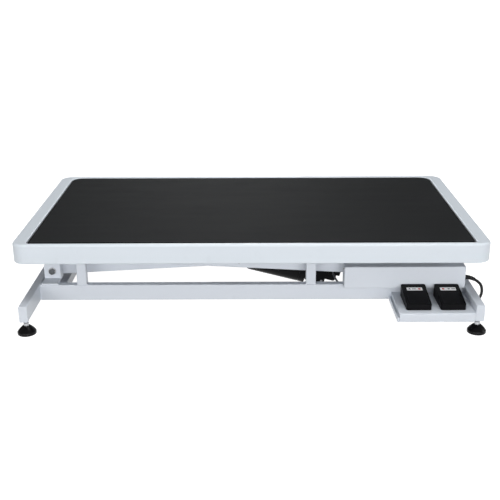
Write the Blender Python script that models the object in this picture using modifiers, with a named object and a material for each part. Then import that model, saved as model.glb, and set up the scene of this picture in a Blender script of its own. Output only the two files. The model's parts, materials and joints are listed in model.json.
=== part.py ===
"""Electric grooming table with a scissor lift, modelled in its lowered position.

Metres, +Z up, +X to the right along the table, -Y towards the groomer. The
origin is on the floor under the middle of the table.
"""

import math

import bmesh
import bpy
from mathutils import Matrix, Vector

# Driving dimensions of the tabletop
TABLE_LENGTH = 1.114
TABLE_DEPTH = 0.600
RIM_HEIGHT = 0.048
RIM_END_WIDTH = 0.034
RIM_SIDE_WIDTH = 0.012
RIM_CORNER = 0.030
RIM_TOP_ROUND = 0.006
RIM_WALL = 0.004
OPENING_FRONT_CORNER = 0.010
OPENING_REAR_CORNER = 0.030
BOARD_THICK = 0.015
MAT_THICK = 0.004
MAT_GAP = 0.0012
MAT_RECESS = 0.002
FRAME_WALL = 0.003
FRAME_WIDTH = 0.040
CROSS_BAR_WIDTH = 0.040
LEFT_BAR_DROP = 0.019
OUTRIGGER_WIDTH = 0.030
OUTRIGGER_HEIGHT = 0.012
CHANNEL_PAST_RAIL = 0.013
LEFT_BAR_FROM_PIVOT = 0.038
RIGHT_BAR_PAST_ARM = 0.012

# Driving dimensions of the base
BASE_END_INSET = 0.019
BASE_OVERHANG = 0.130
TUBE_WIDTH = 0.020
TUBE_HEIGHT = 0.040
TUBE_WALL = 0.002
TUBE_CORNER = 0.0025
RAIL_INSET = 0.083
FOOT_HEIGHT = 0.036
FOOT_PAD_RADIUS = 0.022
FOOT_PAD_HEIGHT = 0.020
FOOT_NECK_RADIUS = 0.0075
FOOT_RIM_HEIGHT = 0.0045
FOOT_NUT_HEIGHT = 0.007
FOOT_NUT_RADIUS = 0.0085
FOOT_STUD_RADIUS = 0.005
FOOT_STUD_REACH = 0.018
FOOT_INSET = 0.020
POST_HEIGHT = 0.086
POST_WIDTH = 0.024
LEFT_POST_INSET = 0.104
RIGHT_POST_TO_BOX = 0.079

# Driving dimensions of the scissor lift
LIFT_ANGLE = math.radians(59)
ROLLER_INSET = 0.0904
ARM_END = 0.020
PIVOT_INSET = 0.025
PIVOT_ABOVE_RAIL = 0.023
PIVOT_RISE = 0.050
SHAFT_RADIUS = 0.006
SPACER_RADIUS = 0.010
WASHER_RADIUS = 0.0100
WASHER_THICK = 0.0015
BOLT_HEAD_RADIUS = 0.0085
BOLT_HEAD_HEIGHT = 0.006
HEX_TURN = math.radians(7)
ARM_GAP = 0.002
ROLLER_WIDTH = 0.018
ROLLER_TREAD = 0.006
ROLLER_WEB_SINK = 0.003
ROLLER_CHAMFER = 0.0015
ROLLER_SIDE_GAP = 0.001
BASE_ROLLER_BOSS = 0.004
TOP_ROLLER_RADIUS = 0.027
TRACK_BELOW_RAIL = 0.009
TRACK_THICK = 0.004
TRACK_LIP = 0.023
TRACK_PAST_ROLLER = 0.040
TRACK_PAST_EDGE = 0.002
TOP_TRACK_PAST_ROLLER = 0.037
TOP_TRACK_WIDTH = 0.030
BRACKET_WIDTH = 0.040
BRACKET_THICK = 0.004
BRACKET_GAP = 0.0025
BRACKET_ABOVE_PIVOT = 0.023
BRACKET_CORNER = 0.012
BRACKET_FLANGE = 0.0205
BRACKET_FLANGE_HEIGHT = 0.042
PIVOT_BEAM_WIDTH = 0.050
PIVOT_BEAM_HEIGHT = 0.026
LIFT_TUBE_AT = 0.215
LIFT_TUBE_RADIUS = 0.016
LIFT_TUBE_WALL = 0.0025
LEVER_ALONG = 0.080
LEVER_RISE = 0.045
LEVER_THICK = 0.005
CROSS_TUBE_RADIUS = 0.0125
UPPER_TUBE_RADIUS = 0.014
LOWER_TUBE_RADIUS = 0.011
LOWER_TUBE_AT = 0.677
LOWER_TUBE_DROP = 0.012

# Driving dimensions of the linear actuator
CLEVIS_FROM_PIVOT = 0.743
CLEVIS_HEIGHT = 0.042
EYE_RADIUS = 0.014
EYE_WIDTH = 0.022
PIN_RADIUS = 0.005
CLEVIS_PLATE = 0.004
BEAM_WIDTH = 0.040
BEAM_HEIGHT = 0.024
BEAM_FROM_CLEVIS = 0.022
GEARBOX_START = 0.018
GEARBOX_LENGTH = 0.087
GEARBOX_TOP = 0.024
GEARBOX_BOTTOM = 0.040
GEARBOX_REAR_SIDE = 0.026
GEARBOX_FRONT_SIDE = 0.078
ACTUATOR_TUBE_RADIUS = 0.020
ACTUATOR_TUBE_END = 0.430
ROD_RADIUS = 0.010
ROD_BORE_GAP = 0.0012
ROD_TAIL = 0.135
MOTOR_RADIUS = 0.027
MOTOR_LENGTH = 0.160
MOTOR_Y = -0.050
MOTOR_DROP = 0.027
MOTOR_NOSE = 0.016
MOTOR_NOSE_RADIUS = 0.015
GEARBOX_ROUND = 0.006
GEARBOX_STEP_LENGTH = 0.036
GEARBOX_STEP_SIDE = 0.031
GEARBOX_STEP_TOP = 0.006
COLLAR_LENGTH = 0.030
COLLAR_STEP = 0.002
COLLAR_NOSE = 0.003
ROD_BORE_SPARE = 0.008
ROD_IN_EYE = 0.003
LEAD_DIAMETER = 0.005
LEAD_FROM_GEARBOX = 0.020
LEAD_ABOVE_CLEVIS = 0.012
LEAD_RUN = 0.048

# Driving dimensions of the control box and the pedals
BOX_END_GAP = 0.001
BOX_LENGTH = 0.293
BOX_STAND_OUT = 0.018
BOX_TOP = 0.128
BOX_SKIRT = 0.004
BOX_WALL = 0.0015
BOX_ROUND = 0.003
BOX_BACK_SINK = 0.0015
BOARD_LENGTH = 0.180
BOARD_HEIGHT = 0.036
BOARD_SHEET = 0.0016
BOARD_ABOVE_FLOOR = 0.004
BOARD_TO_COVER = 0.004
GLAND_HEIGHT = 0.094
GLAND_FORWARD = 0.0095
GLAND_RADIUS = 0.0080
GLAND_FLANGE = 0.0035
GLAND_LENGTH = 0.024
GLAND_BEND = 0.045
GLAND_TAPER = 0.002
RELIEF_WALL = 0.0008
TRAY_LENGTH = 0.176
TRAY_TOP = 0.056
TRAY_LIP = 0.022
TRAY_SHEET = 0.002
TRAY_BEND = 0.0025
PEDAL_WIDTH = 0.059
PEDAL_SPACING = 0.080
PEDAL_END_INSET = 0.048
PEDAL_FRONT_LEDGE = 0.019
PEDAL_BACK_GAP = 0.0015
PEDAL_FRONT_HEIGHT = 0.0135
PEDAL_BACK_HEIGHT = 0.0285
PEDAL_CORNER = 0.005
PEDAL_WALL = 0.004
PEDAL_LABEL_DEPTH = 0.035
TREADLE_THICK = 0.0040
TREADLE_GAP = 0.0006
TREADLE_PRESS = 0.0048
TREADLE_PIVOT_INSET = 0.0035
WELL_ROUND = 0.0015
TRUNNION_RADIUS = 0.0015
TRUNNION_REACH = 0.002

# Driving dimensions of the mains cord
CORD_DIAMETER = 0.007
COIL_X = 0.445
COIL_Y = 0.281
COIL_RADIUS = 0.0405
COIL_PITCH = 0.0076
COIL_TURNS_IN = 3.0
COIL_TURNS_OUT = 2.75
COIL_TAIL = 0.042
PLUG_LENGTH = 0.040
PLUG_RADIUS = 0.0105
PLUG_FLATNESS = 1.35
PLUG_ROUND = 0.002
PLUG_RELIEF_LENGTH = 0.016
PLUG_RELIEF_SPREAD = 0.0017
PLUG_SHOULDER = 0.022
PLUG_PIN_LENGTH = 0.019
PLUG_PIN_RADIUS = 0.0024
PLUG_PIN_SPACING = 0.019

# Clearance between touching pieces, and around shafts
GAP = 0.0003
RUNNING_GAP = 0.0003

# Sizes that follow from the driving dimensions
HALF_LENGTH = TABLE_LENGTH / 2
HALF_DEPTH = TABLE_DEPTH / 2
RAIL_FACE_Y = HALF_DEPTH - RAIL_INSET
BASE_DEPTH = 2 * (RAIL_FACE_Y + BASE_OVERHANG)
RAIL_TOP = FOOT_HEIGHT + TUBE_HEIGHT
RAIL_BACK_Y = RAIL_FACE_Y - TUBE_WIDTH
BAR_OUT_X = HALF_LENGTH - BASE_END_INSET
BAR_IN_X = BAR_OUT_X - TUBE_WIDTH
RIM_BOTTOM = RAIL_TOP + POST_HEIGHT
TABLE_TOP = RIM_BOTTOM + RIM_HEIGHT
OPENING_X = HALF_LENGTH - RIM_END_WIDTH
OPENING_Y = HALF_DEPTH - RIM_SIDE_WIDTH
MAT_TOP = TABLE_TOP - MAT_RECESS
BOARD_TOP = MAT_TOP - MAT_THICK - GAP
BOARD_BOTTOM = BOARD_TOP - BOARD_THICK
CHANNEL_OUT_Y = RAIL_FACE_Y + CHANNEL_PAST_RAIL
CHANNEL_IN_Y = CHANNEL_OUT_Y - FRAME_WIDTH
FRAME_TOP = BOARD_BOTTOM - GAP
FRAME_BOTTOM = RIM_BOTTOM + GAP
PIVOT_X = -(BAR_IN_X - PIVOT_INSET)
ROLLER_X = OPENING_X - ROLLER_INSET
ARM_LENGTH = math.hypot(ROLLER_X - PIVOT_X, PIVOT_RISE)
LOWER_PIVOT_Z = RAIL_TOP + PIVOT_ABOVE_RAIL
UPPER_PIVOT_Z = LOWER_PIVOT_Z + PIVOT_RISE
REST_ANGLE = math.asin(PIVOT_RISE / ARM_LENGTH)
CENTRE_X = (PIVOT_X + ROLLER_X) / 2
CENTRE_Z = (LOWER_PIVOT_Z + UPPER_PIVOT_Z) / 2
BASE_ROLLER_OUT = RAIL_BACK_Y - ROLLER_SIDE_GAP
BASE_ROLLER_IN = BASE_ROLLER_OUT - ROLLER_WIDTH
ARM_B_OUT = BASE_ROLLER_IN - BASE_ROLLER_BOSS
ARM_B_IN = ARM_B_OUT - TUBE_WIDTH
ARM_A_OUT = ARM_B_IN - ARM_GAP
ARM_A_IN = ARM_A_OUT - TUBE_WIDTH
TOP_ROLLER_OUT = ARM_A_IN - ARM_GAP
TOP_ROLLER_IN = TOP_ROLLER_OUT - ROLLER_WIDTH
TRACK_TOP = RAIL_TOP - TRACK_BELOW_RAIL
BASE_ROLLER_RADIUS = LOWER_PIVOT_Z - TRACK_TOP - GAP
TOP_TRACK_BOTTOM = UPPER_PIVOT_Z + TOP_ROLLER_RADIUS + GAP
LIFTED_ROLLER_X = PIVOT_X + ARM_LENGTH * math.cos(REST_ANGLE + LIFT_ANGLE)
TRACK_LEFT_X = LIFTED_ROLLER_X - TRACK_PAST_ROLLER
BRACKET_IN = ARM_B_OUT + BRACKET_GAP
BRACKET_OUT = BRACKET_IN + BRACKET_THICK
CLEVIS_X = PIVOT_X + CLEVIS_FROM_PIVOT
BOX_RIGHT_X = BAR_IN_X - BOX_END_GAP
BOX_LEFT_X = BOX_RIGHT_X - BOX_LENGTH
BOX_FRONT_Y = -(RAIL_FACE_Y + BOX_STAND_OUT)
LEFT_POST_X = -BAR_IN_X + LEFT_POST_INSET
RIGHT_POST_X = BOX_LEFT_X - RIGHT_POST_TO_BOX
TRAY_LEFT_X = BAR_IN_X - TRAY_LENGTH
TRAY_FRONT_Y = -BASE_DEPTH / 2
PEDAL_RIGHT_X = BAR_IN_X - PEDAL_END_INSET
PEDAL_LEFT_X = PEDAL_RIGHT_X - PEDAL_SPACING
PEDAL_FRONT_Y = TRAY_FRONT_Y + PEDAL_FRONT_LEDGE
PEDAL_BACK_Y = BOX_FRONT_Y - PEDAL_BACK_GAP

BLACK = (0.016, 0.016, 0.018)
PAINT = (0.80, 0.83, 0.86)
ZINC = (0.62, 0.63, 0.64)

FINISHES = {
    "paint": (PAINT, 0.42, 0.0),
    "zinc": (ZINC, 0.35, 1.0),
    "black_plastic": (BLACK, 0.48, 0.0),
    "rubber": ((0.035, 0.036, 0.038), 0.80, 0.0),
    "plywood": ((0.52, 0.38, 0.24), 0.75, 0.0),
    "nylon": ((0.74, 0.74, 0.70), 0.45, 0.0),
    "circuit": ((0.02, 0.13, 0.06), 0.55, 0.0),
    "grey_lead": ((0.30, 0.30, 0.32), 0.60, 0.0),
    "black_metal": ((0.020, 0.020, 0.023), 0.38, 0.3),
}


def clear_scene():
    for old in list(bpy.data.objects):
        bpy.data.objects.remove(old, do_unlink=True)


def new_collection(name):
    made = bpy.data.collections.new(name)
    bpy.context.scene.collection.children.link(made)
    return made


def give_material(thing, finish):
    colour, roughness, metallic = FINISHES[finish]
    made = bpy.data.materials.new(thing.name + "_finish")
    made.use_nodes = True
    shader = made.node_tree.nodes["Principled BSDF"]
    shader.inputs["Base Color"].default_value = (*colour, 1.0)
    shader.inputs["Roughness"].default_value = roughness
    shader.inputs["Metallic"].default_value = metallic
    made.diffuse_color = (*colour, 1.0)
    thing.data.materials.clear()
    thing.data.materials.append(made)


def new_part(name, mesh, finish, at=(0, 0, 0), turn=0.0, parent=None):
    """A sub-part: its mesh, its finish and its place, turned about Y."""
    mesh.name = name
    thing = bpy.data.objects.new(name, mesh)
    parts.objects.link(thing)
    thing.parent = parent
    thing.location = at
    thing.rotation_euler = (0, turn, 0)
    give_material(thing, finish)
    mesh.shade_smooth()
    mesh.set_sharp_from_angle(angle=math.radians(30))
    return thing


def new_helper(target, mesh, name):
    """A cutter or a shape to join, in the same place as the part it works on."""
    helper = bpy.data.objects.new(name, mesh)
    cutters.objects.link(helper)
    helper.parent = target.parent
    helper.location = target.location
    helper.rotation_euler = target.rotation_euler
    helper.hide_render = True
    helper.display_type = "WIRE"
    return helper


def combine(target, mesh, operation, name):
    helper = new_helper(target, mesh, target.name + "_" + name)
    step = target.modifiers.new(name, "BOOLEAN")
    step.operation = operation
    step.object = helper
    step.solver = "EXACT"


def cut(target, mesh, name="cut"):
    combine(target, mesh, "DIFFERENCE", name)


def join(target, mesh, name="join"):
    combine(target, mesh, "UNION", name)


def mesh_from(bm, name="shape"):
    bmesh.ops.recalc_face_normals(bm, faces=bm.faces)
    mesh = bpy.data.meshes.new(name)
    bm.to_mesh(mesh)
    bm.free()
    return mesh


def block(low, high, round_by=0.0, along=None, segments=2):
    """A box between two corners, with rounded edges, or only those along one axis."""
    low = Vector(low)
    high = Vector(high)
    bm = bmesh.new()
    bmesh.ops.create_cube(bm, size=1.0)
    bmesh.ops.scale(bm, vec=high - low, verts=bm.verts)
    bmesh.ops.translate(bm, vec=(low + high) / 2, verts=bm.verts)
    if round_by > 0:
        edges = list(bm.edges)
        if along is not None:
            axis = "XYZ".index(along)
            edges = [e for e in edges if abs((e.verts[0].co - e.verts[1].co)[axis]) > 1e-6]
        bmesh.ops.bevel(
            bm,
            geom=edges,
            offset=round_by,
            offset_type="OFFSET",
            segments=segments,
            profile=0.5,
            affect="EDGES",
        )
    return mesh_from(bm)


def cylinder(centre, radius, low, high, along="Y", segments=20):
    """A cylinder or a cone along one axis, from low to high on that axis."""
    turn = {"X": Matrix.Rotation(math.pi / 2, 4, "Y"), "Z": Matrix.Identity(4)}
    turn["Y"] = Matrix.Rotation(-math.pi / 2, 4, "X")
    axis = "XYZ".index(along)
    middle = Vector(centre)
    middle[axis] = (low + high) / 2
    spin = Matrix.Rotation(HEX_TURN if segments == 6 else 0.0, 4, "Z")
    bm = bmesh.new()
    bmesh.ops.create_cone(
        bm,
        cap_ends=True,
        segments=segments,
        radius1=radius,
        radius2=radius,
        depth=high - low,
        matrix=Matrix.Translation(middle) @ turn[along] @ spin,
    )
    return mesh_from(bm)


def to_mesh(thing):
    """The evaluated mesh of a helper object, which is then removed."""
    bpy.context.view_layer.update()
    graph = bpy.context.evaluated_depsgraph_get()
    mesh = bpy.data.meshes.new_from_object(thing.evaluated_get(graph))
    mesh.transform(thing.matrix_world)
    source = thing.data
    bpy.data.objects.remove(thing, do_unlink=True)
    if isinstance(source, bpy.types.Curve):
        bpy.data.curves.remove(source)
    bm = bmesh.new()
    bm.from_mesh(mesh)
    bpy.data.meshes.remove(mesh)
    bmesh.ops.remove_doubles(bm, verts=bm.verts, dist=1e-6)
    return mesh_from(bm)


PLANES = {
    "XY": Matrix.Identity(4),
    "XZ": Matrix(((1, 0, 0, 0), (0, 0, -1, 0), (0, 1, 0, 0), (0, 0, 0, 1))),
    "YZ": Matrix(((0, 0, 1, 0), (1, 0, 0, 0), (0, 1, 0, 0), (0, 0, 0, 1))),
}


def outline(loops, low, high, plane):
    """A flat outline, with holes, extruded from low to high across its plane."""
    curve = bpy.data.curves.new("outline", "CURVE")
    curve.dimensions = "2D"
    curve.fill_mode = "BOTH"
    curve.extrude = (high - low) / 2
    for loop in loops:
        spline = curve.splines.new("POLY")
        spline.points.add(len(loop) - 1)
        for point, (across, up) in zip(spline.points, loop):
            point.co = (across, up, 0, 1)
        spline.use_cyclic_u = True
    thing = bpy.data.objects.new("outline", curve)
    bpy.context.scene.collection.objects.link(thing)
    middle = (high + low) / 2
    lift = -middle if plane == "XZ" else middle
    thing.matrix_world = PLANES[plane] @ Matrix.Translation((0, 0, lift))
    return to_mesh(thing)


def turned(profile, along="Z", segments=32, closed=False):
    """A lathe shape. The profile of (radius, height) runs from its top down."""
    mesh = bpy.data.meshes.new("profile")
    count = len(profile)
    edges = [(i, i + 1) for i in range(count - 1)]
    if closed:
        edges.append((count - 1, 0))
    mesh.from_pydata([(radius, 0, height) for radius, height in profile], edges, [])
    thing = bpy.data.objects.new("profile", mesh)
    bpy.context.scene.collection.objects.link(thing)
    screw = thing.modifiers.new("turn", "SCREW")
    screw.steps = segments
    screw.render_steps = segments
    screw.use_merge_vertices = True
    screw.merge_threshold = 0.00001
    axes = {"X": Matrix.Rotation(math.pi / 2, 4, "Y"), "Z": Matrix.Identity(4)}
    axes["Y"] = Matrix.Rotation(-math.pi / 2, 4, "X")
    thing.matrix_world = axes[along]
    return to_mesh(thing)


def moved(mesh, offset):
    mesh.transform(Matrix.Translation(offset))
    return mesh


def arc(centre, radius, start, end, steps):
    """Points on an arc, with its angles in degrees."""
    points = []
    for i in range(steps + 1):
        angle = math.radians(start + (end - start) * i / steps)
        points.append((centre[0] + radius * math.cos(angle), centre[1] + radius * math.sin(angle)))
    return points


def rounded_outline(low, high, radii, steps=4):
    """A rectangle with its own radius at each corner, from the lower left one round."""
    lower_left, lower_right, upper_right, upper_left = radii
    corners = (
        ((low[0] + lower_left, low[1] + lower_left), lower_left, 180),
        ((high[0] - lower_right, low[1] + lower_right), lower_right, 270),
        ((high[0] - upper_right, high[1] - upper_right), upper_right, 0),
        ((low[0] + upper_left, high[1] - upper_left), upper_left, 90),
    )
    points = []
    for centre, radius, start in corners:
        points += arc(centre, radius, start, start + 90, steps)
    return points


def link_outline(first, first_radius, second, second_radius, steps=8):
    """The outline of a link plate: two round ends and the straight sides between."""
    along = math.degrees(math.atan2(second[1] - first[1], second[0] - first[0]))
    span = math.hypot(second[0] - first[0], second[1] - first[1])
    lean = math.degrees(math.acos((first_radius - second_radius) / span))
    points = arc(first, first_radius, along + lean, along + 360 - lean, steps)
    points += arc(second, second_radius, along - lean, along + lean, steps)
    return points


def tube_loops(low, high):
    """The outer and inner outlines of the rectangular tube's section."""
    outer = rounded_outline(low, high, (TUBE_CORNER,) * 4, 3)
    inner_low = (low[0] + TUBE_WALL, low[1] + TUBE_WALL)
    inner_high = (high[0] - TUBE_WALL, high[1] - TUBE_WALL)
    inner = rounded_outline(inner_low, inner_high, (TUBE_CORNER / 2,) * 4, 2)
    return [outer, inner]


def between(sign, inner, outer):
    """The low and high Y of a span that is mirrored to the front or the rear."""
    return tuple(sorted((sign * inner, sign * outer)))


SIDES = (("front", -1), ("rear", 1))


def build_rails():
    """The two long base tubes, which meet the end bars at their open ends."""
    for side, sign in SIDES:
        low_y, high_y = between(sign, RAIL_BACK_Y, RAIL_FACE_Y)
        loops = tube_loops((low_y, FOOT_HEIGHT), (high_y, RAIL_TOP))
        mesh = outline(loops, -BAR_IN_X + GAP, BAR_IN_X - GAP, "YZ")
        new_part(side + "_rail", mesh, "paint")


def build_end_bars():
    """The short base tubes, closed at their ends, with a threaded seat for each foot."""
    half = BASE_DEPTH / 2
    seat_radius = FOOT_STUD_RADIUS + RUNNING_GAP
    for name, sign in (("left_end_bar", -1), ("right_end_bar", 1)):
        low_x, high_x = between(sign, BAR_IN_X, BAR_OUT_X)
        mesh = block((low_x, -half, FOOT_HEIGHT), (high_x, half, RAIL_TOP), TUBE_CORNER)
        bar = new_part(name, mesh, "paint")
        inner_low = (low_x + TUBE_WALL, -half + TUBE_WALL, FOOT_HEIGHT + TUBE_WALL)
        inner_high = (high_x - TUBE_WALL, half - TUBE_WALL, RAIL_TOP - TUBE_WALL)
        cut(bar, block(inner_low, inner_high), "hollow")
        for side, side_sign in SIDES:
            centre = ((low_x + high_x) / 2, side_sign * (half - FOOT_INSET), 0)
            seat = cylinder(centre, seat_radius, FOOT_HEIGHT - 0.01, FOOT_HEIGHT + 0.01, "Z", 20)
            cut(bar, seat, side + "_seat")


def build_feet():
    """Levelling feet: a cone-shaped pad, a lock nut and a threaded stud."""
    nut_top = FOOT_PAD_HEIGHT + FOOT_NUT_HEIGHT
    stud_top = FOOT_HEIGHT + FOOT_STUD_REACH
    profile = [
        (0.0, stud_top),
        (FOOT_STUD_RADIUS - 0.001, stud_top),
        (FOOT_STUD_RADIUS, stud_top - 0.001),
        (FOOT_STUD_RADIUS, FOOT_PAD_HEIGHT),
        (FOOT_NECK_RADIUS, FOOT_PAD_HEIGHT),
    ]
    spread = FOOT_PAD_RADIUS - FOOT_NECK_RADIUS
    drop = FOOT_PAD_HEIGHT - FOOT_RIM_HEIGHT
    for share in (0.35, 0.65, 0.87, 1.0):
        radius = FOOT_NECK_RADIUS + spread * share
        profile.append((radius, FOOT_PAD_HEIGHT - drop * (0.62 * share + 0.38 * share**4)))
    profile += [(FOOT_PAD_RADIUS, 0.001), (FOOT_PAD_RADIUS - 0.001, 0.0), (0.0, 0.0)]
    for x_name, x_sign in (("left", -1), ("right", 1)):
        for y_name, y_sign in SIDES:
            x = x_sign * (BAR_OUT_X - TUBE_WIDTH / 2)
            y = y_sign * (BASE_DEPTH / 2 - FOOT_INSET)
            mesh = turned(profile, "Z", 24)
            name = "foot_" + y_name + "_" + x_name
            foot = new_part(name, mesh, "black_plastic", (x, y, 0))
            nut = cylinder((0, 0, 0), FOOT_NUT_RADIUS, FOOT_PAD_HEIGHT - 0.001, nut_top, "Z", 6)
            join(foot, nut, "lock_nut")


def build_posts():
    """The rest posts that carry the lowered tabletop, open at their lower ends."""
    low_z = RAIL_TOP + GAP
    high_z = RIM_BOTTOM
    for x_name, x in (("left", LEFT_POST_X), ("right", RIGHT_POST_X)):
        for y_name, sign in SIDES:
            low_y, high_y = between(sign, RAIL_BACK_Y, RAIL_FACE_Y)
            low = (x - POST_WIDTH / 2, low_y, low_z)
            high = (x + POST_WIDTH / 2, high_y, high_z)
            name = "post_" + y_name + "_" + x_name
            post = new_part(name, block(low, high, TUBE_CORNER, "Z"), "paint")
            inner_low = (low[0] + TUBE_WALL, low[1] + TUBE_WALL, low_z - 0.01)
            inner_high = (high[0] - TUBE_WALL, high[1] - TUBE_WALL, high_z - TUBE_WALL)
            cut(post, block(inner_low, inner_high), "hollow")


def build_base_tracks():
    """Angle tracks inside the rails, on which the lower rollers run."""
    right_x = ROLLER_X + TRACK_PAST_ROLLER
    for side, sign in SIDES:
        back = sign * (RAIL_BACK_Y - GAP)
        flange = sign * (RAIL_BACK_Y - GAP - TRACK_THICK)
        lip = sign * (BASE_ROLLER_IN - TRACK_PAST_EDGE)
        loop = [
            (back, TRACK_TOP),
            (back, TRACK_TOP - TRACK_LIP),
            (flange, TRACK_TOP - TRACK_LIP),
            (flange, TRACK_TOP - TRACK_THICK),
            (lip, TRACK_TOP - TRACK_THICK),
            (lip, TRACK_TOP),
        ]
        mesh = outline([loop], TRACK_LEFT_X, right_x, "YZ")
        new_part("base_track_" + side, mesh, "zinc")


def build_base_brackets():
    """Bent brackets on the rails that hold the arms' fixed pivot."""
    low_x = PIVOT_X - BRACKET_WIDTH / 2
    high_x = PIVOT_X + BRACKET_WIDTH / 2
    foot_z = RAIL_TOP + GAP
    top_z = LOWER_PIVOT_Z + BRACKET_ABOVE_PIVOT
    for side, sign in SIDES:
        loop = [
            (sign * RAIL_FACE_Y, foot_z),
            (sign * BRACKET_IN, foot_z),
            (sign * BRACKET_IN, top_z),
            (sign * BRACKET_OUT, top_z),
            (sign * BRACKET_OUT, foot_z + BRACKET_THICK),
            (sign * RAIL_FACE_Y, foot_z + BRACKET_THICK),
        ]
        mesh = outline([loop], low_x, high_x, "YZ")
        mesh = round_corners(mesh, top_z, BRACKET_CORNER)
        bracket = new_part("base_bracket_" + side, mesh, "paint")
        hole = shaft_hole((PIVOT_X, 0, LOWER_PIVOT_Z), sign, BRACKET_IN, BRACKET_OUT)
        cut(bracket, hole, "pivot_hole")
        low_y, high_y = between(sign, BRACKET_IN - BRACKET_FLANGE, BRACKET_IN + 0.001)
        low = (high_x - BRACKET_THICK, low_y, foot_z)
        high = (high_x, high_y, foot_z + BRACKET_FLANGE_HEIGHT)
        join(bracket, block(low, high), "side_flange")


def build_pivot_beam():
    """The base cross-member under the fixed pivots."""
    left = PIVOT_X - BRACKET_WIDTH / 2
    right = left + PIVOT_BEAM_WIDTH
    top = FOOT_HEIGHT + PIVOT_BEAM_HEIGHT
    reach = RAIL_BACK_Y - GAP
    loops = [
        rounded_outline((left, FOOT_HEIGHT), (right, top), (TUBE_CORNER,) * 4, 3),
        rounded_outline(
            (left + TUBE_WALL, FOOT_HEIGHT + TUBE_WALL),
            (right - TUBE_WALL, top - TUBE_WALL),
            (TUBE_CORNER / 2,) * 4,
            2,
        ),
    ]
    new_part("pivot_beam", outline(loops, -reach, reach, "XZ"), "paint")


def round_corners(mesh, at_height, radius):
    """Rounds the edges along Y that lie at one height of a bent plate."""
    bm = bmesh.new()
    bm.from_mesh(mesh)
    chosen = []
    for edge in bm.edges:
        one, two = (v.co for v in edge.verts)
        level = abs(one.z - at_height) < 1e-5 and abs(two.z - at_height) < 1e-5
        along_y = abs(one.x - two.x) < 1e-5 and abs(one.y - two.y) > 1e-4
        if level and along_y and len(edge.link_faces) == 2:
            if edge.calc_face_angle(0) > 0.5:
                chosen.append(edge)
    bmesh.ops.bevel(
        bm,
        geom=chosen,
        offset=radius,
        offset_type="OFFSET",
        segments=4,
        profile=0.5,
        affect="EDGES",
    )
    return mesh_from(bm)


def shaft_hole(centre, sign, inner, outer, radius=SHAFT_RADIUS + RUNNING_GAP):
    low, high = between(sign, inner - 0.002, outer + 0.002)
    return cylinder(centre, radius, low, high, "Y", 20)


def build_pivot_shafts():
    """The fixed lower pivot shaft and the one that hangs from the tabletop."""
    head_end = BRACKET_OUT + GAP + WASHER_THICK + BOLT_HEAD_HEIGHT
    washer_end = BRACKET_OUT + GAP + WASHER_THICK
    base_profile = [
        (0.0, head_end),
        (SHAFT_RADIUS, head_end),
        (SHAFT_RADIUS, washer_end),
        (WASHER_RADIUS, washer_end),
        (WASHER_RADIUS, BRACKET_OUT + GAP),
        (SHAFT_RADIUS, BRACKET_OUT + GAP),
        (SHAFT_RADIUS, BRACKET_IN - GAP),
        (SPACER_RADIUS, BRACKET_IN - GAP),
        (SPACER_RADIUS, ARM_A_OUT + GAP),
        (SHAFT_RADIUS, ARM_A_OUT + GAP),
    ]
    top_profile = base_profile[:8]
    top_profile += [(SPACER_RADIUS, ARM_B_OUT + GAP), (SHAFT_RADIUS, ARM_B_OUT + GAP)]
    shafts = (
        ("base_pivot_shaft", base_profile, LOWER_PIVOT_Z),
        ("top_pivot_shaft", top_profile, UPPER_PIVOT_Z),
    )
    for name, half, height in shafts:
        profile = half + [(radius, -place) for radius, place in reversed(half)]
        shaft = new_part(name, turned(profile, "Y", 16), "zinc", (PIVOT_X, 0, height))
        for side, sign in SIDES:
            low, high = between(sign, washer_end - 0.0005, head_end - 0.0007)
            head = cylinder((0, 0, 0), BOLT_HEAD_RADIUS, low, high, "Y", 6)
            join(shaft, head, side + "_head")


def arm_tube(name, sign, inner, outer, low_x, high_x, at, turn, holes):
    """One lift arm: a closed rectangular tube with a bush hole at each pivot."""
    low_y, high_y = between(sign, inner, outer)
    half = TUBE_HEIGHT / 2
    mesh = block((low_x, low_y, -half), (high_x, high_y, half), TUBE_CORNER)
    arm = new_part(name, mesh, "paint", at, turn)
    inner_low = (low_x + TUBE_WALL, low_y + TUBE_WALL, -half + TUBE_WALL)
    inner_high = (high_x - TUBE_WALL, high_y - TUBE_WALL, half - TUBE_WALL)
    cut(arm, block(inner_low, inner_high), "hollow")
    for number, x in enumerate(holes):
        cut(arm, shaft_hole((x, 0, 0), sign, inner, outer), "hole_%d" % number)
    return arm


def build_inner_arms():
    """The inner arm pair, which turns about the fixed pivot of the base."""
    at = (PIVOT_X, 0, LOWER_PIVOT_Z)
    holes = (0, ARM_LENGTH / 2, ARM_LENGTH)
    for side, sign in SIDES:
        name = "inner_arm_" + side
        span = (-ARM_END, ARM_LENGTH + ARM_END)
        arm_tube(name, sign, ARM_A_IN, ARM_A_OUT, *span, at, -REST_ANGLE, holes)


def build_outer_arms():
    """The outer arm pair, with a stub axle for each lower roller."""
    at = (CENTRE_X, 0, CENTRE_Z)
    half = ARM_LENGTH / 2
    for side, sign in SIDES:
        name = "outer_arm_" + side
        span = (-half - ARM_END, half + ARM_END)
        arm = arm_tube(name, sign, ARM_B_IN, ARM_B_OUT, *span, at, REST_ANGLE, (-half, 0))
        low, high = between(sign, ARM_B_OUT - TUBE_WALL, BASE_ROLLER_IN - GAP)
        join(arm, cylinder((half, 0, 0), SPACER_RADIUS, low, high, "Y", 20), "boss")
        low, high = between(sign, BASE_ROLLER_IN - 0.001, BASE_ROLLER_OUT - GAP)
        join(arm, cylinder((half, 0, 0), SHAFT_RADIUS, low, high, "Y", 20), "axle")


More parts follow.
